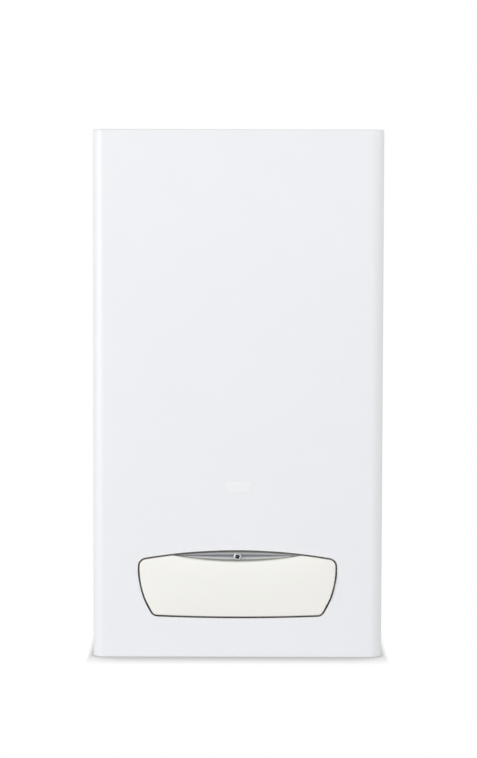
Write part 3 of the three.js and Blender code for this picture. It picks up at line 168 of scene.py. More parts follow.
def ringed(outline, outward, levels, place=None):
    """A closed plate: at each level (inset, depth) the outline is drawn in by the inset along
    its own normals, and the first and last rings shrink to their middles. The outline lies in
    the front view; depth is y, or place(points, depth) gives the finished coordinates."""
    rings = [outline - outward * np.reshape(inset, (-1, 1)) for inset, _ in levels]
    depths = [np.broadcast_to(depth, len(outline)) for _, depth in levels]
    shrink = (0.0, 0.35, 0.7)
    first = [rings[0].mean(axis=0) + (rings[0] - rings[0].mean(axis=0)) * s for s in shrink]
    last = [rings[-1].mean(axis=0) + (rings[-1] - rings[-1].mean(axis=0)) * s for s in shrink]
    rings = np.stack(first + rings + last[::-1])
    depths = np.stack([depths[0]] * 3 + depths + [depths[-1]] * 3)
    if place:
        return grid(place(rings, depths), wrap_columns=True)
    return grid(np.stack([rings[..., 0], depths, rings[..., 1]], axis=-1), wrap_columns=True)


def rounded_rectangle(centre, size, radius, steps=6):
    """Outline of a rectangle with round corners, and its outward normals."""
    half = np.asarray(size, float) / 2 - radius
    quarter = np.linspace(0, math.pi / 2, steps + 1)
    angle = (np.arange(4)[:, None] * math.pi / 2 + quarter).ravel()
    normal = np.stack([np.cos(angle), np.sin(angle)], axis=-1)
    corner = np.repeat(np.array([[1, 1], [-1, 1], [-1, -1], [1, -1]]) * half, steps + 1, axis=0)
    return np.asarray(centre) + corner + normal * radius, normal


def soft_levels(front, back, edge, steps=4):
    """Levels of a plate with rounded front edges: quarter circles of the edge's radius."""
    a = np.linspace(0, math.pi / 2, steps + 1)
    rounded = [(edge * (1 - math.cos(k)), front + edge * (1 - math.sin(k))) for k in a]
    return [(0.0, back)] + rounded


def block(low, high, edge=0.4 * MM):
    """A box with rounded front and rear edges, from its lowest to its highest corner."""
    size = (high[0] - low[0], high[2] - low[2])
    centre = ((low[0] + high[0]) / 2, (low[2] + high[2]) / 2)
    outline, normal = rounded_rectangle(centre, size, min(2 * edge, min(size) * 0.49), 3)
    front = soft_levels(low[1], (low[1] + high[1]) / 2, edge, 2)
    rear = [(inset, low[1] + high[1] - depth) for inset, depth in soft_levels(low[1], 0, edge, 2)[1:]]
    return ringed(outline, normal, rear[::-1] + front)


def turned_to(shape, axis):
    """The same shape with its front view's depth laid along another axis: x or z."""
    points, faces = shape
    order = {"x": (1, 0, 2), "z": (0, 2, 1)}[axis]
    return points[:, order], faces


# ---------------------------------------------------------------- the control opening
def crossing(first, second, side):
    """Where two circles (centre, radius) cross, on the side of the door's middle given."""
    (c1, r1), (c2, r2) = first, second
    distance = np.hypot(*(c2 - c1))
    along = (c2 - c1) / distance
    reach = (r1**2 - r2**2 + distance**2) / (2 * distance)
    rise = math.sqrt(r1**2 - reach**2)
    across = np.array([-along[1], along[0]])
    both = [c1 + along * reach + across * s * rise for s in (-1, 1)]
    return max(both, key=lambda p: side[0] * p[0] + side[1] * (p[1] - DOOR_CENTRE))


def bearing(centre, point):
    return math.atan2(point[1] - centre[1], point[0] - centre[0])


def opening_arcs(offset):
    """The opening's eight arcs (centre, radius, from, to), grown by an offset, anticlockwise
    from the right side: a large arc and then the small one that joins it to the next."""
    o = OPENING
    inner = o["half_width"] - o["side_radius"]
    discs = [
        (np.array([inner, o["widest_at"]]), o["side_radius"]),
        (np.array([0, o["top"] - o["arch_radius"]]), o["arch_radius"]),
        (np.array([-inner, o["widest_at"]]), o["side_radius"]),
        (np.array([0, o["bottom"] + o["sole_radius"]]), o["sole_radius"]),
    ]
    rounds = [o["top_corner"], o["top_corner"], o["bottom_corner"], o["bottom_corner"]]
    sides = [(1, 1), (-1, 1), (-1, -1), (1, -1)]
    corners = []
    for i, (radius, side) in enumerate(zip(rounds, sides)):
        a, b = discs[i], discs[(i + 1) % 4]
        centre = crossing((a[0], a[1] - radius), (b[0], b[1] - radius), side)
        corners.append((centre, radius, bearing(a[0], centre), bearing(b[0], centre)))
    arcs = []
    for i, (centre, radius) in enumerate(discs):
        start = corners[i - 1][3]
        middle, small, begin, end = corners[i]
        arcs.append((centre, radius + offset, start, begin + (TAU if begin < start else 0)))
        arcs.append((middle, small + offset, begin, end + (TAU if end < begin else 0)))
    return arcs


def arc_points(arc, count, hollow=False):
    """Points along an arc without its last, and the outward normals there: away from the
    arc's centre, or towards it on a hollow stretch."""
    centre, radius, start, end = arc
    angle = np.linspace(start, end, count, endpoint=False)
    spoke = np.stack([np.cos(angle), np.sin(angle)], axis=-1)
    return centre + radius * spoke, -spoke if hollow else spoke


def sampled(arcs, spacing=1.2 * MM, hollow=()):
    """Outline and normals of a run of arcs, with points a spacing apart."""
    runs = []
    for i, arc in enumerate(arcs):
        count = max(4, round(abs(arc[3] - arc[2]) * arc[1] / spacing))
        runs.append(arc_points(arc, count, i in hollow))
    return tuple(np.concatenate(column) for column in zip(*runs))


def door_outline(gap=DOOR_GAP):
    """The opening drawn in by the gap, with the dip of the grip bitten out of its arch.
    Returns points, normals and a mask that is 1 along the dip and fades at its tips."""
    arcs = opening_arcs(-gap)
    arch = arcs[2]
    bite = np.array([0, BITE_BOTTOM + BITE_RADIUS])
    tip = crossing(arch[:2], (bite, BITE_RADIUS), (1, 0))
    right_tip = bearing(arch[0], tip)
    dip = bearing(bite, tip)
    if dip > 0:
        dip -= TAU
    run = arcs[:2] + [
        (arch[0], arch[1], arch[2], right_tip),
        (bite, BITE_RADIUS, dip, -math.pi - dip),
        (arch[0], arch[1], math.pi - right_tip, arch[3]),
    ] + arcs[3:]
    outline, normal = sampled(run, hollow=(3,))
    inside = np.abs(outline[:, 0]) < tip[0]
    on_dip = inside & (outline[:, 1] > DOOR_CENTRE)
    mask = np.where(on_dip, np.clip((tip[0] - np.abs(outline[:, 0])) / (14 * MM), 0, 1), 0)
    return outline, normal, mask


# ---------------------------------------------------------------- making pieces
def merged(shapes):
    """Several shapes as one: vertices stacked, faces renumbered."""
    points, faces, count = [], [], 0
    for p, f in shapes:
        points.append(p)
        faces += (f + count).tolist()
        count += len(p)
    return np.concatenate(points), faces


def piece(name, shapes, material, body, replaces=(), crease=35, outward=None):
    """Makes one object at the origin from shapes, with seams closed and faces outward. Its
    creases and open edges are kept sharp. Rides it on its body. outward is a direction that
    the first face must look along."""
    points, faces = merged(shapes)
    mesh = bpy.data.meshes.new(name)
    mesh.from_pydata(points, [], faces)
    work = bmesh.new()
    work.from_mesh(mesh)
    bmesh.ops.remove_doubles(work, verts=work.verts, dist=2e-6)
    bmesh.ops.dissolve_degenerate(work, dist=1e-6, edges=work.edges)
    bmesh.ops.recalc_face_normals(work, faces=work.faces)
    if outward:
        work.faces.ensure_lookup_table()
        if work.faces[0].normal.dot(Vector(outward)) < 0:
            bmesh.ops.reverse_faces(work, faces=work.faces)
    work.to_mesh(mesh)
    work.free()
    mesh.polygons.foreach_set("use_smooth", np.ones(len(mesh.polygons), bool))
    mesh.set_sharp_from_angle(angle=math.radians(crease))
    links = np.empty(len(mesh.loops), np.int32)
    mesh.loops.foreach_get("edge_index", links)
    sharp = np.empty(len(mesh.edges), bool)
    mesh.edges.foreach_get("use_edge_sharp", sharp)
    sharp |= np.bincount(links, minlength=len(sharp)) == 1
    mesh.edges.foreach_set("use_edge_sharp", sharp)
    mesh.materials.append(finish_of(material))
    made = bpy.data.objects.new(name, mesh)
    bpy.context.scene.collection.objects.link(made)
    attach(made, body)
    if replaces:
        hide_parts(*replaces)
    return made


def dress(material, *nodes):
    """Gives nodes of the frame a finish, in the slots that they have."""
    for name in nodes:
        for slot in frame["nodes"][name].material_slots:
            slot.material = finish_of(material)


# ---------------------------------------------------------------- finishes
def linear(colour):
    """A colour written as 0xRRGGBB, as linear light with alpha."""
    channels = np.array([colour >> 16 & 255, colour >> 8 & 255, colour & 255]) / 255
    light = np.where(channels <= 0.04045, channels / 12.92, ((channels + 0.055) / 1.055) ** 2.4)
    return (*light.tolist(), 1.0)


def add(tree, kind, inputs=None, **settings):
    """Adds a node. An input is a number, a colour, or a socket to link to it."""
    node = tree.nodes.new(kind)
    for key, value in settings.items():
        setattr(node, key, value)
    for key, value in (inputs or {}).items():
        if isinstance(value, bpy.types.NodeSocket):
            tree.links.new(value, node.inputs[key])
        else:
            node.inputs[key].default_value = value
    return node


def maths(tree, operation, a, b=0.0, c=0.0):
    return add(tree, "ShaderNodeMath", {0: a, 1: b, 2: c}, operation=operation).outputs[0]


def blended(tree, share, a, b, mode="MIX"):
    settings = {"data_type": "RGBA", "blend_type": mode}
    return add(tree, "ShaderNodeMix", {0: share, 6: a, 7: b}, **settings).outputs[2]


def spread(tree, value, low, high, to_low=0.0, to_high=1.0):
    """A value carried from one range to another, and held at its ends."""
    return add(tree, "ShaderNodeMapRange", {0: value, 1: low, 2: high, 3: to_low, 4: to_high}).outputs[0]


def noise(tree, place, scale, detail=2.0, rough=0.5):
    inputs = {"Vector": place, "Scale": scale, "Detail": detail, "Roughness": rough}
    return add(tree, "ShaderNodeTexNoise", inputs).outputs["Fac"]


# What every shared effect takes and gives, with its starting values.
COMMON = [("Color", "NodeSocketColor", (0.8, 0.8, 0.8, 1)), ("Roughness", "NodeSocketFloat", 0.5)]
GIVEN = {"Color": "NodeSocketColor", "Roughness": "NodeSocketFloat", "Height": "NodeSocketFloat"}


def effect(name, extras, make):
    """A shader node group that changes a colour and a roughness over the surface and gives a
    height in millimetres. make(tree, source) returns colour, roughness and height."""
    tree = bpy.data.node_groups.new(name, "ShaderNodeTree")
    for label, kind, value in COMMON + extras:
        tree.interface.new_socket(label, in_out="INPUT", socket_type=kind).default_value = value
    for label, kind in GIVEN.items():
        tree.interface.new_socket(label, in_out="OUTPUT", socket_type=kind)
    source = tree.nodes.new("NodeGroupInput").outputs
    results = make(tree, source)
    add(tree, "NodeGroupOutput", dict(zip(GIVEN, results)))
    return tree


def number(label, value):
    return (label, "NodeSocketFloat", value)


def tint(label, value):
    return (label, "NodeSocketColor", value)


def toned(tree, colour, value, amount):
    """A colour made lighter or darker by an amount, as a value goes from 0 to 1."""
    half = maths(tree, "SUBTRACT", value, 0.5)
    gain = maths(tree, "MULTIPLY_ADD", half, maths(tree, "MULTIPLY", amount, 2.0), 1.0)
    return add(tree, "ShaderNodeVectorMath", {0: colour, 1: gain}, operation="MULTIPLY").outputs[0]


def make_peel(tree, source):
    """Powder coat: soft dimples a millimetre or two across, with a faint drift of tone."""
    place = add(tree, "ShaderNodeTexCoord").outputs["Object"]
    dimple = noise(tree, place, source["Scale"], 2.0, 0.45)
    cloud = noise(tree, place, 9.0, 3.0)
    speck = noise(tree, place, maths(tree, "MULTIPLY", source["Scale"], 3.1), 1.0)
    colour = toned(tree, source["Color"], cloud, source["Drift"])
    rough = maths(tree, "MULTIPLY_ADD", maths(tree, "SUBTRACT", speck, 0.5), 0.12, source["Roughness"])
    height = maths(tree, "MULTIPLY", maths(tree, "MULTIPLY_ADD", speck, 0.3, dimple), source["Depth"])
    return colour, rough, height


def make_moulded(tree, source):
    """Moulded plastic: a fine even grain, and slow flow marks along one way."""
    place = add(tree, "ShaderNodeTexCoord").outputs["Object"]
    grain = add(tree, "ShaderNodeTexVoronoi", {"Vector": place, "Scale": source["Scale"]}).outputs["Distance"]
    stretched = add(tree, "ShaderNodeMapping", {"Vector": place, "Scale": (1.0, 1.0, 3.0)}).outputs[0]
    flow = noise(tree, stretched, 14.0, 3.0, 0.6)
    colour = toned(tree, source["Color"], flow, source["Drift"])
    rough = maths(tree, "MULTIPLY_ADD", maths(tree, "SUBTRACT", flow, 0.5), 0.15, source["Roughness"])
    return colour, rough, maths(tree, "MULTIPLY", grain, source["Depth"])


def make_flake(tree, source):
    """Silver lacquer: tiny flakes, each a little lighter or darker than the next."""
    place = add(tree, "ShaderNodeTexCoord").outputs["Object"]
    cell = add(tree, "ShaderNodeTexVoronoi", {"Vector": place, "Scale": source["Scale"]})
    glint = add(tree, "ShaderNodeSeparateColor", {0: cell.outputs["Color"]}).outputs[0]
    colour = toned(tree, source["Color"], glint, source["Drift"])
    rough = maths(tree, "MULTIPLY_ADD", maths(tree, "SUBTRACT", glint, 0.5), 0.2, source["Roughness"])
    return colour, rough, maths(tree, "MULTIPLY", glint, source["Depth"])


def make_spangle(tree, source):
    """Zinc coat: angular crystals of differing tone and gloss, with fine rolling marks."""
    place = add(tree, "ShaderNodeTexCoord").outputs["Object"]
    cell = add(tree, "ShaderNodeTexVoronoi", {"Vector": place, "Scale": source["Scale"]})
    tone = add(tree, "ShaderNodeSeparateColor", {0: cell.outputs["Color"]}).outputs[0]
    rolled = add(tree, "ShaderNodeMapping", {"Vector": place, "Scale": (1.0, 1.0, 0.04)}).outputs[0]
    streak = noise(tree, rolled, 900.0, 2.0)
    both = maths(tree, "MULTIPLY_ADD", streak, 0.4, maths(tree, "MULTIPLY", tone, 0.6))
    colour = toned(tree, source["Color"], both, source["Drift"])
    rough = maths(tree, "MULTIPLY_ADD", maths(tree, "SUBTRACT", tone, 0.5), 0.25, source["Roughness"])
    return colour, rough, maths(tree, "MULTIPLY", both, source["Depth"])


def make_patina(tree, source):
    """Bare metal that has begun to dull: cloudy patches of a second colour, less glossy."""
    place = add(tree, "ShaderNodeTexCoord").outputs["Object"]
    cloud = noise(tree, place, source["Scale"], 5.0, 0.62)
    patch = spread(tree, cloud, 0.46, 0.72)
    share = maths(tree, "MULTIPLY", patch, source["Amount"])
    colour = blended(tree, share, source["Color"], source["Dull"])
    scratch = noise(tree, place, maths(tree, "MULTIPLY", source["Scale"], 22.0), 3.0)
    rough = maths(tree, "MULTIPLY_ADD", share, 0.3, source["Roughness"])
    rough = maths(tree, "MULTIPLY_ADD", maths(tree, "SUBTRACT", scratch, 0.5), 0.15, rough)
    return toned(tree, colour, scratch, 0.06), rough, maths(tree, "MULTIPLY", scratch, 0.01)


def make_cast(tree, source):
    """Sand-cast or painted rough surface: pits and lumps at two sizes."""
    place = add(tree, "ShaderNodeTexCoord").outputs["Object"]
    lump = noise(tree, place, source["Scale"], 4.0, 0.6)
    finer = maths(tree, "MULTIPLY", source["Scale"], 1.7)
    pit = add(tree, "ShaderNodeTexVoronoi", {"Vector": place, "Scale": finer})
    both = maths(tree, "MULTIPLY_ADD", pit.outputs["Distance"], 0.35, lump)
    colour = toned(tree, source["Color"], lump, source["Drift"])
    rough = maths(tree, "MULTIPLY_ADD", maths(tree, "SUBTRACT", lump, 0.5), 0.2, source["Roughness"])
    return colour, rough, maths(tree, "MULTIPLY", both, source["Depth"])


def make_edge(tree, source):
    """Where the surface turns sharply, a lighter, smoother line that comes and goes: wear on most finishes,
    and a painted highlight on the pale casing, door and plate.
    """
    place = add(tree, "ShaderNodeTexCoord").outputs["Object"]
    sharp = spread(tree, add(tree, "ShaderNodeNewGeometry").outputs["Pointiness"], 0.51, 0.60)
    broken = spread(tree, noise(tree, place, 160.0, 4.0), 0.35, 0.65)
    share = maths(tree, "MULTIPLY", maths(tree, "MULTIPLY", sharp, broken), source["Amount"])
    colour = blended(tree, share, source["Color"], source["Worn"])
    rough = maths(tree, "MULTIPLY_ADD", share, -0.12, source["Roughness"])
    return colour, rough, maths(tree, "MULTIPLY", share, -0.004)


def make_dust(tree, source):
    """Dust that settles where the surface looks up, thicker in soft patches."""
    place = add(tree, "ShaderNodeTexCoord").outputs["Object"]
    normal = add(tree, "ShaderNodeNewGeometry").outputs["Normal"]
    facing = add(tree, "ShaderNodeSeparateXYZ", {0: normal}).outputs[2]
    upward = spread(tree, facing, 0.2, 0.9)
    cloud = spread(tree, noise(tree, place, 26.0, 5.0), 0.3, 0.8)
    share = maths(tree, "MULTIPLY", maths(tree, "MULTIPLY", upward, cloud), source["Amount"])
    colour = blended(tree, share, source["Color"], source["Dust"])
    return colour, maths(tree, "MULTIPLY_ADD", share, 0.35, source["Roughness"]), 0.0


def make_effects():
    """Builds each shared effect once."""
    effect("powder_peel", [number("Scale", 620), number("Depth", 0.03), number("Drift", 0.01)], make_peel)
    grain = [number("Scale", 2600), number("Depth", 0.01), number("Drift", 0.02)]
    effect("moulded_grain", grain, make_moulded)
    effect("silver_flake", [number("Scale", 5200), number("Depth", 0.002), number("Drift", 0.08)], make_flake)
    effect("zinc_spangle", [number("Scale", 110), number("Depth", 0.01), number("Drift", 0.08)], make_spangle)
    dulled = [number("Scale", 40), number("Amount", 0.6), tint("Dull", (0.1, 0.07, 0.05, 1))]
    effect("patina", dulled, make_patina)
    effect("cast_skin", [number("Scale", 420), number("Depth", 0.1), number("Drift", 0.1)], make_cast)
    effect("edge_wear", [number("Amount", 0.5), tint("Worn", (0.8, 0.8, 0.8, 1))], make_edge)
    effect("dust", [number("Amount", 0.25), tint("Dust", (0.55, 0.53, 0.5, 1))], make_dust)


PREFIX = "boiler_"


def finish_of(name):
    return bpy.data.materials[PREFIX + name]


def finish(name, colour, roughness, effects, metallic=0.0, **shader):
    """A material: its colour and roughness pass through the effects in turn, and the heights
    add up in one bump. Other values are set on the shader's own sockets."""
    made = bpy.data.materials.new(PREFIX + name)
    made.use_nodes = True
    tree = made.node_tree
    tree.nodes.clear()
    current = {"Color": colour, "Roughness": roughness}
    height = None
    for group, values in effects:
        node = tree.nodes.new("ShaderNodeGroup")
        node.node_tree = bpy.data.node_groups[group]
        for key, value in {**current, **values}.items():
            if isinstance(value, bpy.types.NodeSocket):
                tree.links.new(value, node.inputs[key])
            else:
                node.inputs[key].default_value = value
        current = {key: node.outputs[key] for key in ("Color", "Roughness")}
        rise = node.outputs["Height"]
        height = maths(tree, "ADD", height, rise) if height else rise
    bump = add(tree, "ShaderNodeBump", {"Height": height, "Distance": MM, "Strength": 1.0})
    inputs = {"Base Color": current["Color"], "Roughness": current["Roughness"]}
    inputs |= {"Metallic": metallic, "Normal": bump.outputs[0], **shader}
    skin = add(tree, "ShaderNodeBsdfPrincipled", inputs)
    add(tree, "ShaderNodeOutputMaterial", {"Surface": skin.outputs[0]})
    return made


# ---------------------------------------------------------------- settings shown in the panel
def length(label, words, value, **limits):
    return bpy.props.FloatProperty(
        name=label, description=words, default=value, unit="LENGTH", precision=5, **limits
    )


def colour_of(label, words, value):
    return bpy.props.FloatVectorProperty(
        name=label, description=words, default=linear(value), subtype="COLOR", size=4, min=0.0, max=1.0
    )


class BoilerFinishes(bpy.types.PropertyGroup):
    """Colours of the main finishes."""

    casing: colour_of("Casing", "Powder coat of the casing", 0xEDEEF1)
    door: colour_of("Door", "Moulded control door", 0xF3F2ED)
    silver: colour_of("Silver", "Lacquered plastic of the trim", 0xA6AAAD)
    grip: colour_of("Grip", "Lacquer of the finger grip", 0xDCDFE0)
    # Painted shade: a darker tone painted into the grip's hollow, where shade falls.
    hollow: colour_of("Hollow", "Lacquer in the hollow of the grip", 0x888A94)
    panel: colour_of("Panel", "Control panel behind the door", 0xE8E5DB)
    dark: colour_of("Dark plastic", "Knobs, gauge case and status lens", 0x17181A)


class BoilerSizes(bpy.types.PropertyGroup):
    """Sizes that belong to the finish, not to the frame."""

    fold: length("Fold radius", "Outer radius of the casing's folds", FOLD_RADIUS, min=0.0005)
    door_edge: length("Door edge", "Rounding of the door's outer edge", 1.5 * MM, min=0.0002)
    lip_edge: length("Lip edge", "Rounding of the door's edge under the grip", 2.4 * MM, min=0.0002)
    badge_width: length("Badge width", "Width of the bare plate above the door", 34 * MM)
    badge_height: length("Badge height", "Height of the bare plate above the door", 14 * MM)


class BoilerPiece(bpy.types.Operator):
    """What every operator here shares: it can be undone."""

    bl_options = {"REGISTER", "UNDO"}


# ---------------------------------------------------------------- materials of all pieces
class BOILER_OT_finishes(BoilerPiece):
    """Builds the shared effects and every finish."""

    bl_idname = "boiler.finishes"
    bl_label = "Finishes"

    def execute(self, context):
        tones = context.scene.boiler_finishes
        make_effects()
        # Painted highlight: the pale casing, door and plate turn near white along their sharp edges.
        painted_edge_highlight = ("edge_wear", {"Amount": 0.25, "Worn": linear(0xFBFBFB)})
        peel = ("powder_peel", {})
        finish("casing_paint", tones.casing, 0.38, [peel, painted_edge_highlight])
        finish("roof_paint", tones.casing, 0.4, [peel])
        finish("badge_paint", linear(0xF0F1F3), 0.3, [("powder_peel", {"Depth": 0.006}), painted_edge_highlight])
        smooth = ("moulded_grain", {"Depth": 0.004, "Drift": 0.008})
        finish("door_plastic", tones.door, 0.34, [smooth, painted_edge_highlight])
        finish("silver_plastic", tones.silver, 0.34, [("silver_flake", {})], metallic=0.85)
        grip = finish("grip_lacquer", tones.grip, 0.36, [("silver_flake", {})], metallic=0.15)
        # Painted shade: the grip's hollow is darkened in its colour where shade falls.
        self.paint_shade(grip, "hollow", tones.hollow)
        # Painted shade in the crease at the grip's foot, behind the door's lip.
        self.paint_shade(grip, "foot", linear(0x9A998F))
        finish("bezel_lacquer", linear(0xDDE0E1), 0.2, [("silver_flake", {"Drift": 0.03})], metallic=0.4)
        grain = ("moulded_grain", {"Depth": 0.03})
        scuffed = ("edge_wear", {"Amount": 0.35, "Worn": linear(0xC8CBCD)})
        dusty = ("dust", {"Amount": 0.2})
        finish("panel_plastic", tones.panel, 0.45, [grain])
        greyed = ("edge_wear", {"Amount": 0.4, "Worn": linear(0x5A5C60)})
        finish("dark_plastic", tones.dark, 0.38, [grain, greyed])
        polished = ("moulded_grain", {"Depth": 0.0})
        finish("lens_plastic", tones.dark, 0.08, [polished, ("dust", {"Amount": 0.05})])
        finish("box_plastic", linear(0x55585B), 0.6, [grain, dusty])
        finish("board", linear(0x2F6B3C), 0.5, [("moulded_grain", {"Depth": 0.01, "Drift": 0.15}), dusty])
        finish("dial_plastic", linear(0xF2F2EE), 0.5, [("moulded_grain", {"Depth": 0.0, "Drift": 0.01})])
        finish("red_plastic", linear(0xB3262A), 0.42, [grain, scuffed])
        finish("blue_plastic", linear(0x2B5FA8), 0.42, [grain, scuffed])
        inks = {"ink": 0x22262A, "pale_ink": 0xE8EBEC, "green_ink": 0x3C9A55, "red_ink": 0xC0282C}
        for name, colour in inks.items():
            finish(name, linear(colour), 0.5, [("moulded_grain", {"Depth": 0.0})])
        self.metals(dusty)
        self.clear()
        return {"FINISHED"}

    def paint_shade(self, made, mask, shade):
        """Mixes painted shade, a darker second tone, into a finish where the surface's own mask is 1."""
        tree = made.node_tree
        skin = next(node for node in tree.nodes if node.type == "BSDF_PRINCIPLED")
        plain = skin.inputs["Base Color"].links[0].from_socket
        share = add(tree, "ShaderNodeAttribute", attribute_name=mask).outputs["Fac"]
        tree.links.new(blended(tree, share, plain, shade), skin.inputs["Base Color"])

    def metals(self, dusty):
        """Sheet, bar, cast and plated metals."""
        finish("galvanised", linear(0xB4B8BA), 0.42, [("zinc_spangle", {}), dusty], metallic=0.9)
        fine = ("zinc_spangle", {"Scale": 420.0, "Drift": 0.04})
        finish("aluminised", linear(0xC3C5C4), 0.4, [fine, dusty], metallic=0.9)
        smudged = ("patina", {"Scale": 30.0, "Amount": 0.35, "Dull": linear(0x8A8C8E)})
        finish("bright_steel", linear(0xC9CBCC), 0.26, [smudged], metallic=1.0)
        brown = ("patina", {"Scale": 24.0, "Amount": 0.7, "Dull": linear(0x5E3524)})
        finish("copper", linear(0xC6754A), 0.27, [brown, dusty], metallic=1.0)
        olive = ("patina", {"Scale": 34.0, "Amount": 0.55, "Dull": linear(0x6B5528)})
        rubbed = ("edge_wear", {"Worn": linear(0xE6CF8C)})
        finish("brass", linear(0xC9A95F), 0.28, [olive, rubbed, dusty], metallic=1.0)
        finish("cast_iron", linear(0x34373A), 0.58, [("cast_skin", {"Depth": 0.16}), dusty], metallic=0.4)
        finish("cast_alloy", linear(0xA5A7A6), 0.45, [("cast_skin", {"Depth": 0.09}), dusty], metallic=0.9)
        chipped = ("edge_wear", {"Amount": 0.4, "Worn": linear(0xC9786F)})
        finish("vessel_paint", linear(0xA5312B), 0.4, [("powder_peel", {"Depth": 0.05}), chipped, dusty])
        matted = ("cast_skin", {"Scale": 240.0, "Depth": 0.5, "Drift": 0.06})
        finish("fibre", linear(0xE4DFD2), 0.95, [matted])
        finish("porcelain", linear(0xF1ECE0), 0.22, [("moulded_grain", {"Depth": 0.002}), dusty])

    def clear(self):
        """Clear plastic: it lets light through, and the rest is its gloss."""
        haze = ("moulded_grain", {"Depth": 0.0, "Drift": 0.01})
        through = {"IOR": 1.49, "Transmission Weight": 0.92, "Alpha": 0.35}
        clear = finish("clear_plastic", linear(0xEEF3F4), 0.06, [haze], **through)
        clear.use_backface_culling = False
        finish("milky_plastic", linear(0xDDE2E4), 0.3, [haze], **{"Transmission Weight": 0.3})


# ---------------------------------------------------------------- casing
def plan_path(front_x):
    """The casing's line in plan from the left side's rear, round both corners, to the right
    side's rear, with outward normals. Its front points are the given x places."""
    rear = np.linspace(CASING_REAR, FRONT + CORNER_RADIUS, 9)[:-1]
    turn = np.linspace(0, math.pi / 2, 17)[:-1]
    left_side = np.stack([np.full_like(rear, -HALF_WIDTH), rear], axis=-1)
    centre = np.array([CORNER_RADIUS - HALF_WIDTH, FRONT + CORNER_RADIUS])
    left_normal = np.stack([-np.cos(turn), -np.sin(turn)], axis=-1)
    front = np.stack([front_x, np.full_like(front_x, FRONT)], axis=-1)
    left = np.vstack([left_side, centre + CORNER_RADIUS * left_normal])
    sideways = np.tile([-1.0, 0.0], (len(rear), 1))
    normals = np.vstack([sideways, left_normal])
    mirror = np.array([-1, 1])
    path = np.vstack([left, front, left[::-1] * mirror])
    forward = np.tile([0.0, -1.0], (len(front), 1))
    return path, np.vstack([normals, forward, normals[::-1] * mirror])


class BOILER_OT_casing(BoilerPiece):
    """Makes the folded casing with its arched control opening."""

    bl_idname = "boiler.casing"
    bl_label = "Casing"

    def execute(self, context):
        self.fold = context.scene.boiler_sizes.fold
        flat = HALF_WIDTH - CORNER_RADIUS
        low, high = self.fold, HEIGHT - self.fold
        across, up = np.linspace(-flat, flat, 241), np.linspace(low, high, 81)
        path, normal = plan_path(across)
        shapes = [self.front(across, up)]
        shapes += [self.side(path[k], up) for k in (slice(0, 25), slice(-25, None))]
        shapes += [self.rim(path, normal, end) for end in (0, 1)]
        made = piece(
            "casing", shapes, "casing_paint", "boiler", ["front_casing"], outward=(0, -1, 0)
        )
        wall = made.modifiers.new("sheet", "SOLIDIFY")
        wall.thickness, wall.offset = SHEET, -1
        wall.use_even_offset = True
        soft = made.modifiers.new("painted_edges", "BEVEL")
        soft.width, soft.segments = 0.35 * MM, 2
        soft.limit_method, soft.angle_limit = "ANGLE", math.radians(50)
        return {"FINISHED"}

    def front(self, across, up):
        """Flat ring: each point lies on the straight line from a point of the opening to its
        partner on the front's border. The opening's corner middles go to the border's corners."""
        arcs = opening_arcs(0)
        halves = []
        for i in range(4):
            small = arcs[2 * i - 1]
            middle = (small[2] + small[3]) / 2
            last = arcs[2 * i + 1]
            run = [(*small[:2], middle, small[3]), arcs[2 * i], (*last[:2], last[2], (last[2] + last[3]) / 2)]
            outline, _ = sampled(run, 0.4 * MM)
            outline = np.vstack([outline, arc_points((*last[:2], (last[2] + last[3]) / 2, 0), 1)[0]])
            steps = np.hypot(*np.diff(outline, axis=0).T)
            run_length = np.concatenate([[0], np.cumsum(steps)])
            wanted = np.linspace(0, run_length[-1], len(up) if i % 2 == 0 else len(across))[:-1]
            halves.append(np.stack([np.interp(wanted, run_length, outline[:, k]) for k in (0, 1)], axis=-1))
        inner = np.vstack(halves)
        right = np.stack([np.full_like(up, across[-1]), up], axis=-1)[:-1]
        top = np.stack([across[::-1], np.full_like(across, up[-1])], axis=-1)[:-1]
        left = np.stack([np.full_like(up, across[0]), up[::-1]], axis=-1)[:-1]
        bottom = np.stack([across, np.full_like(across, up[0])], axis=-1)[:-1]
        outer = np.vstack([right, top, left, bottom])
        share = np.array([0, 0.004, 0.02, 0.08, 0.25, 0.6, 1.0])[:, None, None]
        ring = inner + (outer - inner) * share
        depth = np.full(ring.shape[:2], FRONT)
        return grid(np.stack([ring[..., 0], depth, ring[..., 1]], axis=-1), wrap_columns=True)

    def side(self, path, up):
        """A side and its corner: the plan line carried up."""
        points = np.empty((len(path), len(up), 3))
        points[..., :2] = path[:, None]
        points[..., 2] = up
        return grid(points)

    def rim(self, path, normal, end):
        """Fold and flange: a quarter circle inwards off the plan line, then a flat rim."""
        a = np.linspace(0, math.pi / 2, 9)
        inset = np.append(self.fold * (1 - np.cos(a)), [RIM * 0.6, RIM])
        rise = np.append(self.fold * np.sin(a), [self.fold, self.fold])
        height = HEIGHT - self.fold + rise if end else self.fold - rise
        points = np.empty((len(path), len(inset), 3))
        points[..., :2] = path[:, None] - normal[:, None] * inset[None, :, None]
        points[..., 2] = height
        return grid(points)


class BOILER_OT_badge(BoilerPiece):
    """Makes the bare plate above the control door."""

    bl_idname = "boiler.badge"
    bl_label = "Bare plate"

    def execute(self, context):
        sizes = context.scene.boiler_sizes
        size = (sizes.badge_width, sizes.badge_height)
        outline, normal = rounded_rectangle((2 * MM, 237 * MM), size, 1.5 * MM)
        levels = soft_levels(FRONT - 0.5 * MM, FRONT + 0.1 * MM, 0.3 * MM)
        piece("bare_plate", [ringed(outline, normal, levels)], "badge_paint", "boiler")
        return {"FINISHED"}


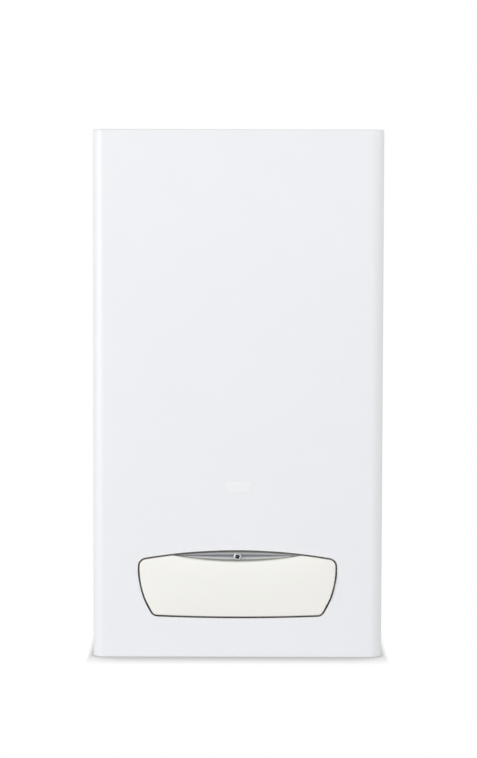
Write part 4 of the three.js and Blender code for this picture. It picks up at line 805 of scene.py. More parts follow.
# ---------------------------------------------------------------- door and grip
def door_face(x, z):
    """Depth of the door's face: a pillow that is highest in the middle. Its rise falls off as
    one less the fourth power sideways, times one less the 2.4th power up and down."""
    across = np.clip(np.abs(x) / OPENING["half_width"], 0, 1)
    up = np.clip(np.abs(z - DOOR_CENTRE - 2 * MM) / (47 * MM), 0, 1)
    return FRONT - DOOR_CROWN * (1 - across**4) * (1 - up**2.4)


class BOILER_OT_door(BoilerPiece):
    """Makes the crowned control door with its rounded lip and its two pivot pins."""

    bl_idname = "boiler.door"
    bl_label = "Control door"

    def execute(self, context):
        sizes = context.scene.boiler_sizes
        outline, normal, dip = door_outline()
        beside = np.abs(outline[:, 0]) > 100 * MM
        fall = np.exp(-(((outline[:, 1] - RELIEF_AT) / RELIEF_REACH) ** 2))
        relief = DOOR_RELIEF * beside * fall
        outline = outline - normal * relief[:, None]
        edge = sizes.door_edge + (sizes.lip_edge - sizes.door_edge) * dip
        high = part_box("control_door")[1]
        rim = high[1]
        rings = [outline - normal * DOOR_WALL] * 2 + [outline]
        depths = [np.full(len(outline), depth) for depth in (rim - 1.4 * MM, rim, rim)]
        for a in np.linspace(0, math.pi / 2, 9):
            ring = outline - normal * np.reshape(edge * (1 - math.cos(a)), (-1, 1))
            rings.append(ring)
            depths.append(door_face(ring[:, 0], ring[:, 1]) + edge * (1 - math.sin(a)))
        rings, depths = np.stack(rings), np.stack(depths)
        middle = np.array([0, DOOR_CENTRE])
        shrink = np.linspace(1, 0, 40)[1:, None, None]
        face = middle + (rings[-1] - middle) * shrink
        hollow = middle + (rings[0] - middle) * shrink[::-1]
        crown = door_face(face[..., 0], face[..., 1])
        inside = np.minimum(door_face(hollow[..., 0], hollow[..., 1]) + DOOR_WALL, rim - 1.4 * MM)
        plan = np.concatenate([hollow, rings, face])
        depth = np.concatenate([inside, depths, crown])
        shell = grid(np.stack([plan[..., 0], depth, plan[..., 1]], axis=-1), wrap_columns=True)
        pins = [self.pin(side, high[0]) for side in (-1, 1)]
        piece("door", [shell, *pins], "door_plastic", "door", ["control_door"])
        return {"FINISHED"}

    def pin(self, side, end):
        """Pivot pin with a rounded end, out of the door's side rim."""
        y, z = FRONT + 2.6 * MM, 70 * MM
        start, reach = side * (end - 8.5 * MM), side * end
        profile = eased([(0, start), (1.3 * MM, start), (1.3 * MM, reach), (0, reach)], 0.5 * MM)
        return revolve(profile, "x", (y, z), 24)


GRIP_REACH = 87 * MM
GRIP_WALL = 2 * MM
GRIP_TOP = 146.7 * MM  # its upper edge, in the middle
GRIP_TOP_RADIUS = 970 * MM
GRIP_LIP = 3 * MM  # height of the strip behind the door's lip
GRIP_FACE = FRONT + 0.8 * MM
GRIP_BEHIND = 5.6 * MM
GRIP_SINK = 5.2 * MM
STATUS_Z = 140.2 * MM
STATUS_Y = FRONT + 3.6 * MM
STATUS_RADIUS = 2.8 * MM


def top_z(x):
    return GRIP_TOP - x**2 / (2 * GRIP_TOP_RADIUS)


def dip_z(x):
    return BITE_BOTTOM + x**2 / (2 * BITE_RADIUS)


class BOILER_OT_grip(BoilerPiece):
    """Makes the silver finger grip and the round status lens in its middle."""

    bl_idname = "boiler.grip"
    bl_label = "Finger grip"

    def execute(self, context):
        grip = piece("grip", [self.scoop()], "grip_lacquer", "boiler", ["grip_scoop"])
        self.shade(grip)
        piece("light_ring", [self.collar()], "bezel_lacquer", "boiler")
        y, r = STATUS_Y, STATUS_RADIUS
        a = np.linspace(0, math.pi / 2, 12)
        dome = [(r * math.sin(k), y + 1.4 * MM * (1 - math.cos(k))) for k in a]
        profile = dome + [(r, y + 12 * MM), (0, y + 12 * MM)]
        lens = revolve(profile, "y", (0, STATUS_Z), 64)
        piece("status_light", [lens], "lens_plastic", "boiler", ["status_lens"])
        return {"FINISHED"}

    def scoop(self):
        """x runs along the grip and t down its section, from under the casing's arch to the
        door's lip: depth = behind * t + sink * sin(pi * t), where the sink shrinks with the gap
        between arch and dip, then a strip behind the lip."""
        x = np.linspace(-GRIP_REACH, GRIP_REACH, 261)[:, None]
        t = np.concatenate([np.linspace(0, 1, 41), [1.0, 1.0]])[None, :]
        strip = np.concatenate([np.zeros(41), [0.5, 1.0]])[None, :]
        top = top_z(x)
        gap = (top - dip_z(x)) / (GRIP_TOP - BITE_BOTTOM)
        y = GRIP_FACE + GRIP_BEHIND * t + GRIP_SINK * gap * np.sin(math.pi * t)
        z = top + (dip_z(x) - top) * t - GRIP_LIP * strip
        face = np.stack([np.broadcast_to(x, y.shape), y, z], axis=-1)
        back = face + np.array([0, GRIP_WALL, 0])
        loop = np.concatenate([face, back[:, ::-1]], axis=1)
        ends = [np.broadcast_to(loop[k].mean(axis=0), loop[k].shape)[None] for k in (0, -1)]
        return grid(np.concatenate([ends[0], loop, ends[1]]), wrap_columns=True)

    def shade(self, grip):
        """Marks how deep in the grip a place lies, as masks for painted shade: a bell round the middle of the
        section for the shade in its hollow, and a step at its foot for the shade in the crease behind the
        door's lip. Both are worked out from each point's own x and z."""
        places = np.empty(3 * len(grip.data.vertices))
        grip.data.vertices.foreach_get("co", places)
        x, _, z = places.reshape(-1, 3).T
        top = top_z(x)
        gap = np.clip((top - dip_z(x)) / (GRIP_TOP - BITE_BOTTOM), 0.02, 1)
        t = (top - z) / (gap * (GRIP_TOP - BITE_BOTTOM))
        hollow_shade = np.exp(-(((t - 0.46) / (0.06 + 0.18 * gap)) ** 2)) * np.clip(2.2 * gap, 0, 1)
        foot = np.clip((t - 0.76) / 0.1, 0, 1)
        for name, value in (("hollow", hollow_shade), ("foot", foot)):
            grip.data.attributes.new(name, "FLOAT", "POINT").data.foreach_set("value", value)

    def collar(self):
        """Bright ring round the lens: a rounded bead on a cone that runs back to the hollow."""
        r, y = STATUS_RADIUS + 0.25 * MM, STATUS_Y + 0.9 * MM
        line = [(r, y + 6 * MM), (r, y), (r + 1.1 * MM, y)]
        line += [(r + 2.3 * MM, y + 1.5 * MM), (r + 2.6 * MM, y + 6 * MM)]
        return revolve(eased(line + line[:1], 0.8 * MM, 6), "y", (0, STATUS_Z), 96)


# ---------------------------------------------------------------- small parts used again
def filled(outline, holes, y):
    """Flat sheet in the front view: an outline filled, less its holes."""
    loops = [outline, *holes]
    faces = np.array(tessellate_polygon([np.pad(loop, ((0, 0), (0, 1))).tolist() for loop in loops]))
    flat = np.concatenate(loops)
    return np.stack([flat[:, 0], np.full(len(flat), y), flat[:, 1]], axis=-1), faces


def circle(centre, radius, steps=48):
    angle = np.linspace(0, TAU, steps, endpoint=False)
    return np.asarray(centre) + radius * np.stack([np.cos(angle), np.sin(angle)], axis=-1)


def clock(centre, angle, radius):
    """A place at an angle clockwise from straight up, seen from the front."""
    return np.stack([centre[0] + radius * np.sin(angle), centre[1] + radius * np.cos(angle)], axis=-1)


def band(centre, start, end, inner, outer, y, thick=0.12 * MM, steps=48):
    """Printed arc: a flat ribbon between two radii, which may change along it."""
    angle = np.linspace(start, end, steps)
    near = clock(centre, angle, np.linspace(*np.broadcast_to(inner, 2), steps))
    far = clock(centre, angle, np.linspace(*np.broadcast_to(outer, 2), steps))
    ring = np.stack([near, far, far, near], axis=1)
    depth = np.array([y, y, y - thick, y - thick])
    body = np.stack([ring[..., 0], np.broadcast_to(depth, ring.shape[:2]), ring[..., 1]], axis=-1)
    ends = [np.broadcast_to(body[k].mean(axis=0), body[k].shape)[None] for k in (0, -1)]
    return grid(np.concatenate([ends[0], body, ends[1]]), wrap_columns=True)


def ticks(centre, angles, inner, outer, width, y):
    """Printed scale: one short bar for each angle."""
    half = width / inner / 2
    return [band(centre, a - half, a + half, inner, outer, y, steps=2) for a in angles]


def lettering(words, place, size, y, thick=0.12 * MM):
    """A number in the front view, in Blender's own typeface, made a mesh."""
    curve = bpy.data.curves.new("words", "FONT")
    curve.body, curve.size, curve.extrude = words, size, thick / 2
    curve.align_x, curve.align_y, curve.resolution_u = "CENTER", "CENTER", 4
    carrier = bpy.data.objects.new("words", curve)
    bpy.context.scene.collection.objects.link(carrier)
    graph = bpy.context.evaluated_depsgraph_get()
    mesh = bpy.data.meshes.new_from_object(carrier.evaluated_get(graph), depsgraph=graph)
    mesh.calc_loop_triangles()
    points, faces = np.empty(3 * len(mesh.vertices)), np.empty(3 * len(mesh.loop_triangles), int)
    mesh.vertices.foreach_get("co", points)
    mesh.loop_triangles.foreach_get("vertices", faces)
    across, up, out = points.reshape(-1, 3).T
    bpy.data.objects.remove(carrier)
    bpy.data.curves.remove(curve)
    bpy.data.meshes.remove(mesh)
    return np.stack([place[0] + across, y - out, place[1] + up], axis=-1), faces.reshape(-1, 3)


def hexagon(across_flats, chamfer, low, high):
    """Swell for a nut: flats cut the round body, and a cone takes off the corners at each end."""
    def swell(angle, radius, place):
        side = np.mod(angle, TAU / 6) - TAU / 12
        flat = across_flats / 2 / np.cos(side)
        near_end = np.minimum(place - low, high - place)
        cone = across_flats / 2 + np.maximum(near_end, 0) * 1.7 - chamfer * 0.2
        return np.where(radius > 1e-6, np.minimum(radius, np.minimum(flat, cone)), radius)

    return swell


def nut(across_flats, low, high, bore, axis="z", centre=(0, 0)):
    """Hexagonal nut with chamfered corners and a bore."""
    r = across_flats / 2 / math.cos(TAU / 12)
    rise = np.concatenate([np.linspace(low, low + 2 * MM, 7), np.linspace(high - 2 * MM, high, 7)])
    profile = [(bore, low), *((r, h) for h in rise), (bore, high), (bore, low)]
    return revolve(profile, axis, centre, 72, hexagon(across_flats, 1 * MM, low, high))


def screw(place, axis="z", sign=1, radius=3.6 * MM):
    """Pan head screw with a cross recess: a dome whose height drops inside the cross."""
    a = np.linspace(0, TAU, 48, endpoint=False)[None, :]
    r = radius * np.array([0, 0.12, 0.2, 0.3, 0.42, 0.5, 0.56, 0.7, 0.85, 0.94, 1.0, 1.0])[:, None]
    rise = 0.6 * radius * np.sqrt(np.clip(1 - (r / radius) ** 2.6, 0, 1))
    across, up = r * np.cos(a), r * np.sin(a)
    slot = np.minimum(np.abs(across), np.abs(up)) < 0.11 * radius
    height = rise - 0.42 * radius * (slot & (r < 0.58 * radius))
    height[-1] = -0.3 * radius
    under = np.zeros_like(height[:1]) - 0.3 * radius
    ring = np.stack([across, up, height * sign], axis=-1)
    last = np.stack([across[:1] * 0, up[:1] * 0, under * sign], axis=-1)
    points = np.concatenate([ring, last])
    order = {"x": (2, 0, 1), "y": (0, 2, 1), "z": (0, 1, 2)}[axis]
    return grid(points[..., order] + np.asarray(place), wrap_columns=True)


# ---------------------------------------------------------------- control panel
KNOB_SKIRT = 17 * MM
KNOB_GRIP = 12.5 * MM
KNOB_HEIGHT = 13.6 * MM
GAUGE_RADIUS = 21 * MM
LAMP_RADIUS = 2 * MM
LAMPS = 6
PRINT_Y = PANEL_Y - 0.02 * MM


def front_of(joint):
    """A joint's place in the front view, x and z."""
    return AXES[joint][[0, 2]]


class BOILER_OT_fascia(BoilerPiece):
    """Makes the panel moulding behind the door, with its holes, and what is printed on it."""

    bl_idname = "boiler.fascia"
    bl_label = "Control panel"

    def execute(self, context):
        wall_low, wall_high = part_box("lamp_strip")
        lamp_z = (wall_low[2] + wall_high[2]) / 2
        lamp_x = np.linspace(wall_low[0] + 5 * MM, wall_high[0] - 5 * MM, LAMPS)
        flange = FRONT + SHEET + 0.3 * MM
        rings, depths = [], []
        a = np.linspace(0, math.pi / 2, 5)
        front = [(10 * MM, flange + 2 * MM), (10 * MM, flange + 0.4 * MM)]
        front += [(9.6 * MM, flange), (3.6 * MM, flange)]
        r = 1.1 * MM
        lip = [(2.5 * MM + r * (1 - math.sin(k)), flange + r * (1 - math.cos(k))) for k in a[1:]]
        foot = [(2.5 * MM - 3 * MM * (1 - math.cos(k)), PANEL_Y - 3 * MM * (1 - math.sin(k))) for k in a]
        flat = [(-0.9 * MM, PANEL_Y), (-1.6 * MM, PANEL_Y)]
        outline, normal = sampled(opening_arcs(0))
        for offset, depth in front + lip + foot + flat:
            rings.append(outline + normal * offset)
            depths.append(np.full(len(outline), depth))
        ring, depth = np.stack(rings), np.stack(depths)
        tray = grid(np.stack([ring[..., 0], depth, ring[..., 1]], axis=-1), wrap_columns=True)
        knobs = ("mode_turn", "heating_turn", "hot_water_turn")
        holes = [circle(front_of(joint), 3.8 * MM) for joint in knobs]
        holes += [circle(front_of("needle_turn"), GAUGE_RADIUS + 0.3 * MM, 96)]
        holes += [circle((x, lamp_z), LAMP_RADIUS + 0.5 * MM, 32) for x in lamp_x]
        floor = filled(rings[-1], holes, PANEL_Y)
        made = piece(
            "fascia", [tray, floor], "panel_plastic", "boiler", ["control_fascia"],
            crease=50, outward=(0, 1, 0),
        )
        self.turn_forward(made)
        wall = made.modifiers.new("wall", "SOLIDIFY")
        wall.thickness, wall.offset = 1.8 * MM, -1
        self.lamps(lamp_x, lamp_z)
        self.scales(lamp_x, lamp_z)
        return {"FINISHED"}

    def turn_forward(self, made):
        """Turns the sheet's faces to the front, where its broad floor decides the side."""
        facing = sum(face.normal.y * face.area for face in made.data.polygons)
        if facing > 0:
            made.data.flip_normals()

    def lamps(self, lamp_x, lamp_z):
        """Six domed lenses on a bar behind the panel."""
        r, y = LAMP_RADIUS, PANEL_Y
        a = np.linspace(0, math.pi / 2, 8)
        dome = [(r * math.sin(k), y - 0.6 * MM + 0.8 * MM * (1 - math.cos(k))) for k in a]
        lenses = [revolve(dome + [(r, y + 4 * MM), (0, y + 4 * MM)], "y", (x, lamp_z), 32) for x in lamp_x]
        low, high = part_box("lamp_strip")
        bar = block((low[0], PANEL_Y + 3.3 * MM, low[2]), high, 0.5 * MM)
        piece("lamp_lenses", [*lenses, bar], "milky_plastic", "boiler", ["lamp_strip"])

    def scales(self, lamp_x, lamp_z):
        """Scales and numbers round the knobs, a line under the lamps and their dots."""
        marks = []
        mode = front_of("mode_turn")
        marks += ticks(mode, np.radians([-60, 0, 60]), 18.6 * MM, 21.6 * MM, 0.9 * MM, PRINT_Y)
        for k, angle in enumerate(np.radians([-60, 0, 60])):
            marks.append(lettering(str(k), clock(mode, angle, 25 * MM), 4.6 * MM, PRINT_Y))
        for joint in ("heating_turn", "hot_water_turn"):
            centre = front_of(joint)
            turn = math.radians(135)
            marks.append(band(centre, -turn, turn, 19.4 * MM, (19.6 * MM, 21.6 * MM), PRINT_Y, steps=96))
            for k in range(1, 7):
                angle = -turn + (k - 1) * turn / 2.5
                if k in (1, 6) or joint == "heating_turn":
                    marks.append(lettering(str(k), clock(centre, angle, 24.2 * MM), 3.4 * MM, PRINT_Y))
        low, high = (-0.3 * MM, PRINT_Y - 0.12 * MM, -5.5 * MM), (0.3 * MM, PRINT_Y, -3.7 * MM)
        for x in lamp_x:
            place = np.array([x, 0, lamp_z])
            marks.append(block(low + place, high + place, 0.03 * MM))
        piece("panel_print", marks, "ink", "boiler", crease=20)


class BOILER_OT_knobs(BoilerPiece):
    """Makes the three control knobs: a skirt, a fluted grip and a bar with a white pointer."""

    bl_idname = "boiler.knobs"
    bl_label = "Knobs"

    def execute(self, context):
        names = {"mode_turn": "mode", "heating_turn": "heating", "hot_water_turn": "hot_water"}
        for joint, name in names.items():
            body = name + "_control"
            x, z = front_of(joint)
            seat = AXES[joint][1]
            shapes = [self.body(x, z, seat), self.bar(x, z, seat)]
            piece(name + "_knob_body", shapes, "dark_plastic", body, [name + "_knob"])
            piece(name + "_pointer", [self.pointer(x, z, seat)], "pale_ink", body)
        return {"FINISHED"}

    def body(self, x, z, seat):
        """Turned profile. On the grip the radius dips in 30 shallow flutes."""
        top = seat - KNOB_HEIGHT + 0.4 * MM
        line = [
            (0, seat + 2 * MM), (3.2 * MM, seat + 2 * MM), (3.2 * MM, seat), (KNOB_SKIRT, seat),
            (KNOB_SKIRT, seat - 2 * MM), (KNOB_GRIP + 1.2 * MM, seat - 3.6 * MM), (KNOB_GRIP, top), (0, top),
        ]
        line = eased(line, 1.1 * MM, 5)
        share = [np.linspace(line[k], line[k + 1], 5)[:-1] for k in range(len(line) - 1)]
        line = np.vstack([*share, line[-1:]])

        def flutes(angle, radius, place):
            behind = np.clip((seat - 4 * MM - place) / (1.5 * MM), 0, 1)
            along = behind * np.clip((place - top - 0.6 * MM) / (1.5 * MM), 0, 1)
            wave = np.clip(np.cos(30 * angle), -0.2, 1)
            return radius - 0.45 * MM * along * wave * (radius > 0.8 * KNOB_GRIP)

        return revolve(line, "y", (x, z), 240, flutes)

    def bar(self, x, z, seat):
        """Finger bar across the knob, drawn in towards its front and rounded all round."""
        reach, half = KNOB_GRIP + 2 * MM, 2.6 * MM
        outline, normal = rounded_rectangle((x, z), (2 * half, 2 * reach), 2.4 * MM, 8)
        levels = [(0.0, seat - 2.5 * MM), (0.3 * MM, seat - 8 * MM)]
        rounded = soft_levels(seat - KNOB_HEIGHT, 0, 1 * MM, 5)[1:]
        levels += [(0.3 * MM + inset, depth) for inset, depth in rounded]
        return ringed(outline, normal, levels)

    def pointer(self, x, z, seat):
        y = seat - KNOB_HEIGHT - 0.08 * MM
        return block((x - 0.55 * MM, y, z + 3 * MM), (x + 0.55 * MM, y + 0.3 * MM, z + 12.6 * MM), 0.12 * MM)


class BOILER_OT_gauge(BoilerPiece):
    """Makes the pressure gauge: case, printed dial, needle and window."""

    bl_idname = "boiler.gauge"
    bl_label = "Pressure gauge"

    def execute(self, context):
        centre = front_of("needle_turn")
        r, y = GAUGE_RADIUS, PANEL_Y
        line = [
            (0, y + 18 * MM), (r, y + 18 * MM), (r, y - 0.3 * MM), (r + 2 * MM, y - 0.3 * MM),
            (r + 2 * MM, y - 2.8 * MM), (r + 1 * MM, y - 3.8 * MM), (r - 1.6 * MM, y - 3.8 * MM),
            (r - 1.6 * MM, y + 4 * MM), (0, y + 4 * MM),
        ]
        case = revolve(eased(line, 0.5 * MM, 4), "y", centre, 96)
        nipple = revolve(
            eased([(0, -r - 6 * MM), (4 * MM, -r - 6 * MM), (4 * MM, 2 * MM - r), (0, 2 * MM - r)], 0.5 * MM),
            "z", (centre[0], y + 11 * MM), 32,
        )
        nipple[0][:, 2] += centre[1]
        piece("gauge_housing", [case, nipple], "dark_plastic", "boiler", ["gauge_case"])
        face = y + 2.6 * MM
        rear, edge = face + 1.1 * MM, r - 2 * MM
        dial = revolve(eased([(0, rear), (edge, rear), (edge, face), (0, face)], 0.2 * MM), "y", centre, 96)
        piece("gauge_face", [dial], "dial_plastic", "boiler", ["gauge_dial"])
        self.scale(centre, face)
        self.needle(centre)
        edge = r - 1.8 * MM
        glass = [(0, y - 3 * MM), (edge, y - 2.8 * MM), (edge, y - 1.6 * MM), (0, y - 1.6 * MM)]
        window = revolve(eased(glass, 0.3 * MM), "y", centre, 96)
        piece("gauge_glass", [window], "clear_plastic", "boiler", ["gauge_window"])
        return {"FINISHED"}

    def scale(self, centre, face):
        """Nought to four, with a green working range and a red end."""
        turn = math.radians(120)
        outer = 16.8 * MM
        marks = ticks(centre, np.linspace(-turn, turn, 5), 13.6 * MM, outer, 0.7 * MM, face)
        marks += ticks(centre, np.linspace(-turn, turn, 41), 15.4 * MM, outer, 0.28 * MM, face)
        for k, angle in enumerate(np.linspace(-turn, turn, 5)):
            marks.append(lettering(str(k), clock(centre, angle, 11 * MM), 3.8 * MM, face))
        piece("gauge_scale", marks, "ink", "boiler", crease=20)
        step = turn / 2
        good = band(centre, -step, 0, 17.1 * MM, 18.4 * MM, face)
        piece("gauge_green", [good], "green_ink", "boiler", crease=20)
        high = band(centre, step, turn, 17.1 * MM, 18.4 * MM, face)
        piece("gauge_red", [high], "red_ink", "boiler", crease=20)

    def needle(self, centre):
        """Tapered blade with a tail, under a domed hub."""
        y = PANEL_Y + 0.6 * MM
        x, z = centre
        half = np.array([1.3, 1.35, 1.1, 0.28]) * MM
        up = np.array([-5.0, -4.5, 0.0, 14.5]) * MM
        right = np.stack([x + half, z + up], axis=-1)
        left = np.stack([x - half, z + up], axis=-1)[::-1]
        outline = np.vstack([right, left])
        normal = outline - np.array([x, z])
        normal /= np.linalg.norm(normal, axis=1, keepdims=True)
        blade = ringed(outline, normal, [(0, y + 0.9 * MM), (0, y + 0.1 * MM), (0.1 * MM, y)])
        cap = [(0, y - 0.5 * MM), (2.6 * MM, y - 0.3 * MM), (2.9 * MM, y + 0.5 * MM)]
        cap += [(2.9 * MM, y + 1.4 * MM), (0, y + 1.4 * MM)]
        shapes = [blade, revolve(eased(cap, 0.4 * MM), "y", centre, 40)]
        piece("gauge_pointer", shapes, "red_plastic", "needle", ["gauge_needle"])


# ---------------------------------------------------------------- turned parts and pipes
def lathe(profile, axis="z", centre=(0, 0), edge=0.5, steps=64, swell=None):
    """Turned part: a profile in millimetres of (radius, place), its corners eased."""
    line = eased(np.asarray(profile, float) * MM, edge * MM)
    return revolve(line, axis, np.asarray(centre) * MM, steps, swell)


def pipe(route, radius, bend, sides=32):
    """A bent pipe along a route in millimetres."""
    return tube(np.asarray(route, float) * MM, radius * MM, bend * MM, sides)


def union_nut(centre, low, high, flats, axis="z"):
    """Nut on a pipe, with a short collar on each side of it. All sizes in millimetres."""
    bore = 0.3 * flats
    hexed = nut(flats * MM, low * MM, high * MM, bore * MM, axis, np.asarray(centre) * MM)
    collar = [(0, low - 1.5), (bore + 1.6, low - 1.5), (bore + 1.6, high + 1.5), (0, high + 1.5)]
    return [hexed, lathe(collar, axis, centre, 0.6, 40)]


def fluted(flutes, depth, radius, low, high):
    """Swell for a hand wheel: hollows round its rim, between two places along the axis."""
    def swell(angle, r, place):
        along = np.clip((place - low) / MM, 0, 1) * np.clip((high - place) / MM, 0, 1)
        hollow = np.clip(np.cos(flutes * angle), 0, 1) ** 1.5
        return r - depth * along * hollow * np.clip(r / radius - 0.75, 0, 0.25) * 4

    return swell


TAIL_Y = 100
PIPE_TAILS = {
    "heating_flow_tail": (-130, 13.2, 9.5),
    "hot_water_tail": (-65, 10.4, 7),
    "gas_tail": (0, 13.2, 9.5),
    "cold_water_tail": (65, 10.4, 7),
    "heating_return_tail": (130, 13.2, 9.5),
}
THREAD_PITCH = 1.814  # fourteen turns to the inch, for both pipe sizes
HEX_CORNER = 17


class BOILER_OT_tails(BoilerPiece):
    """Makes the five threaded connections under the boiler."""

    bl_idname = "boiler.tails"
    bl_label = "Connection tails"

    def execute(self, context):
        for name, (x, thread, bore) in PIPE_TAILS.items():
            turned = self.tail(x, thread, bore)
            piece(name + "_turned", [turned], "brass", "boiler", [name], crease=28)
        return {"FINISHED"}

    def tail(self, x, thread, bore):
        """One turned profile. Where it is the thread, its radius follows a helix of rounded
        teeth; where it is the hexagon, flats and a cone at each end cut it back."""
        rows = np.linspace(23.2, 41, 82)
        flats = np.concatenate([np.linspace(44, 46, 6), np.linspace(57.7, 59.7, 6)])
        profile = [(0, 48), (bore, 48), (bore, 22.8), (bore + 0.8, 22), (thread - 1, 22)]
        profile += [(thread, z) for z in rows] + [(thread - 1.2, 42), (thread - 1.2, 44)]
        profile += [(HEX_CORNER, z) for z in flats] + [(thread - 1.2, 59.7), (thread - 1.2, 62.7), (0, 62.7)]

        def swell(angle, r, place):
            low, high = 23.2 * MM, 41 * MM
            pitch = THREAD_PITCH * MM
            threaded = (place > low - 1e-6) & (place < high + 1e-6) & (r > thread * MM - 1e-6)
            wave = 0.5 - 0.5 * np.cos(TAU * (place - low) / pitch - angle)
            fade = np.clip((place - low) / pitch, 0, 1) * np.clip((high - place) / pitch, 0, 1)
            cut = 1.1 * MM * (wave**0.8 * fade + 0.4 * (1 - fade))
            flat = HEX_CORNER * math.cos(TAU / 12) * MM / np.cos(np.mod(angle, TAU / 6) - TAU / 12)
            ends = np.minimum(place - 44 * MM, 59.7 * MM - place)
            cone = HEX_CORNER * 0.9 * MM + np.maximum(ends, 0) * 1.4
            hexed = np.where(r > (HEX_CORNER - 0.1) * MM, np.minimum(flat, cone), r)
            return np.where(threaded, r - cut, hexed)

        return revolve(np.array(profile) * MM, "z", (x * MM, TAIL_Y * MM), 72, swell)


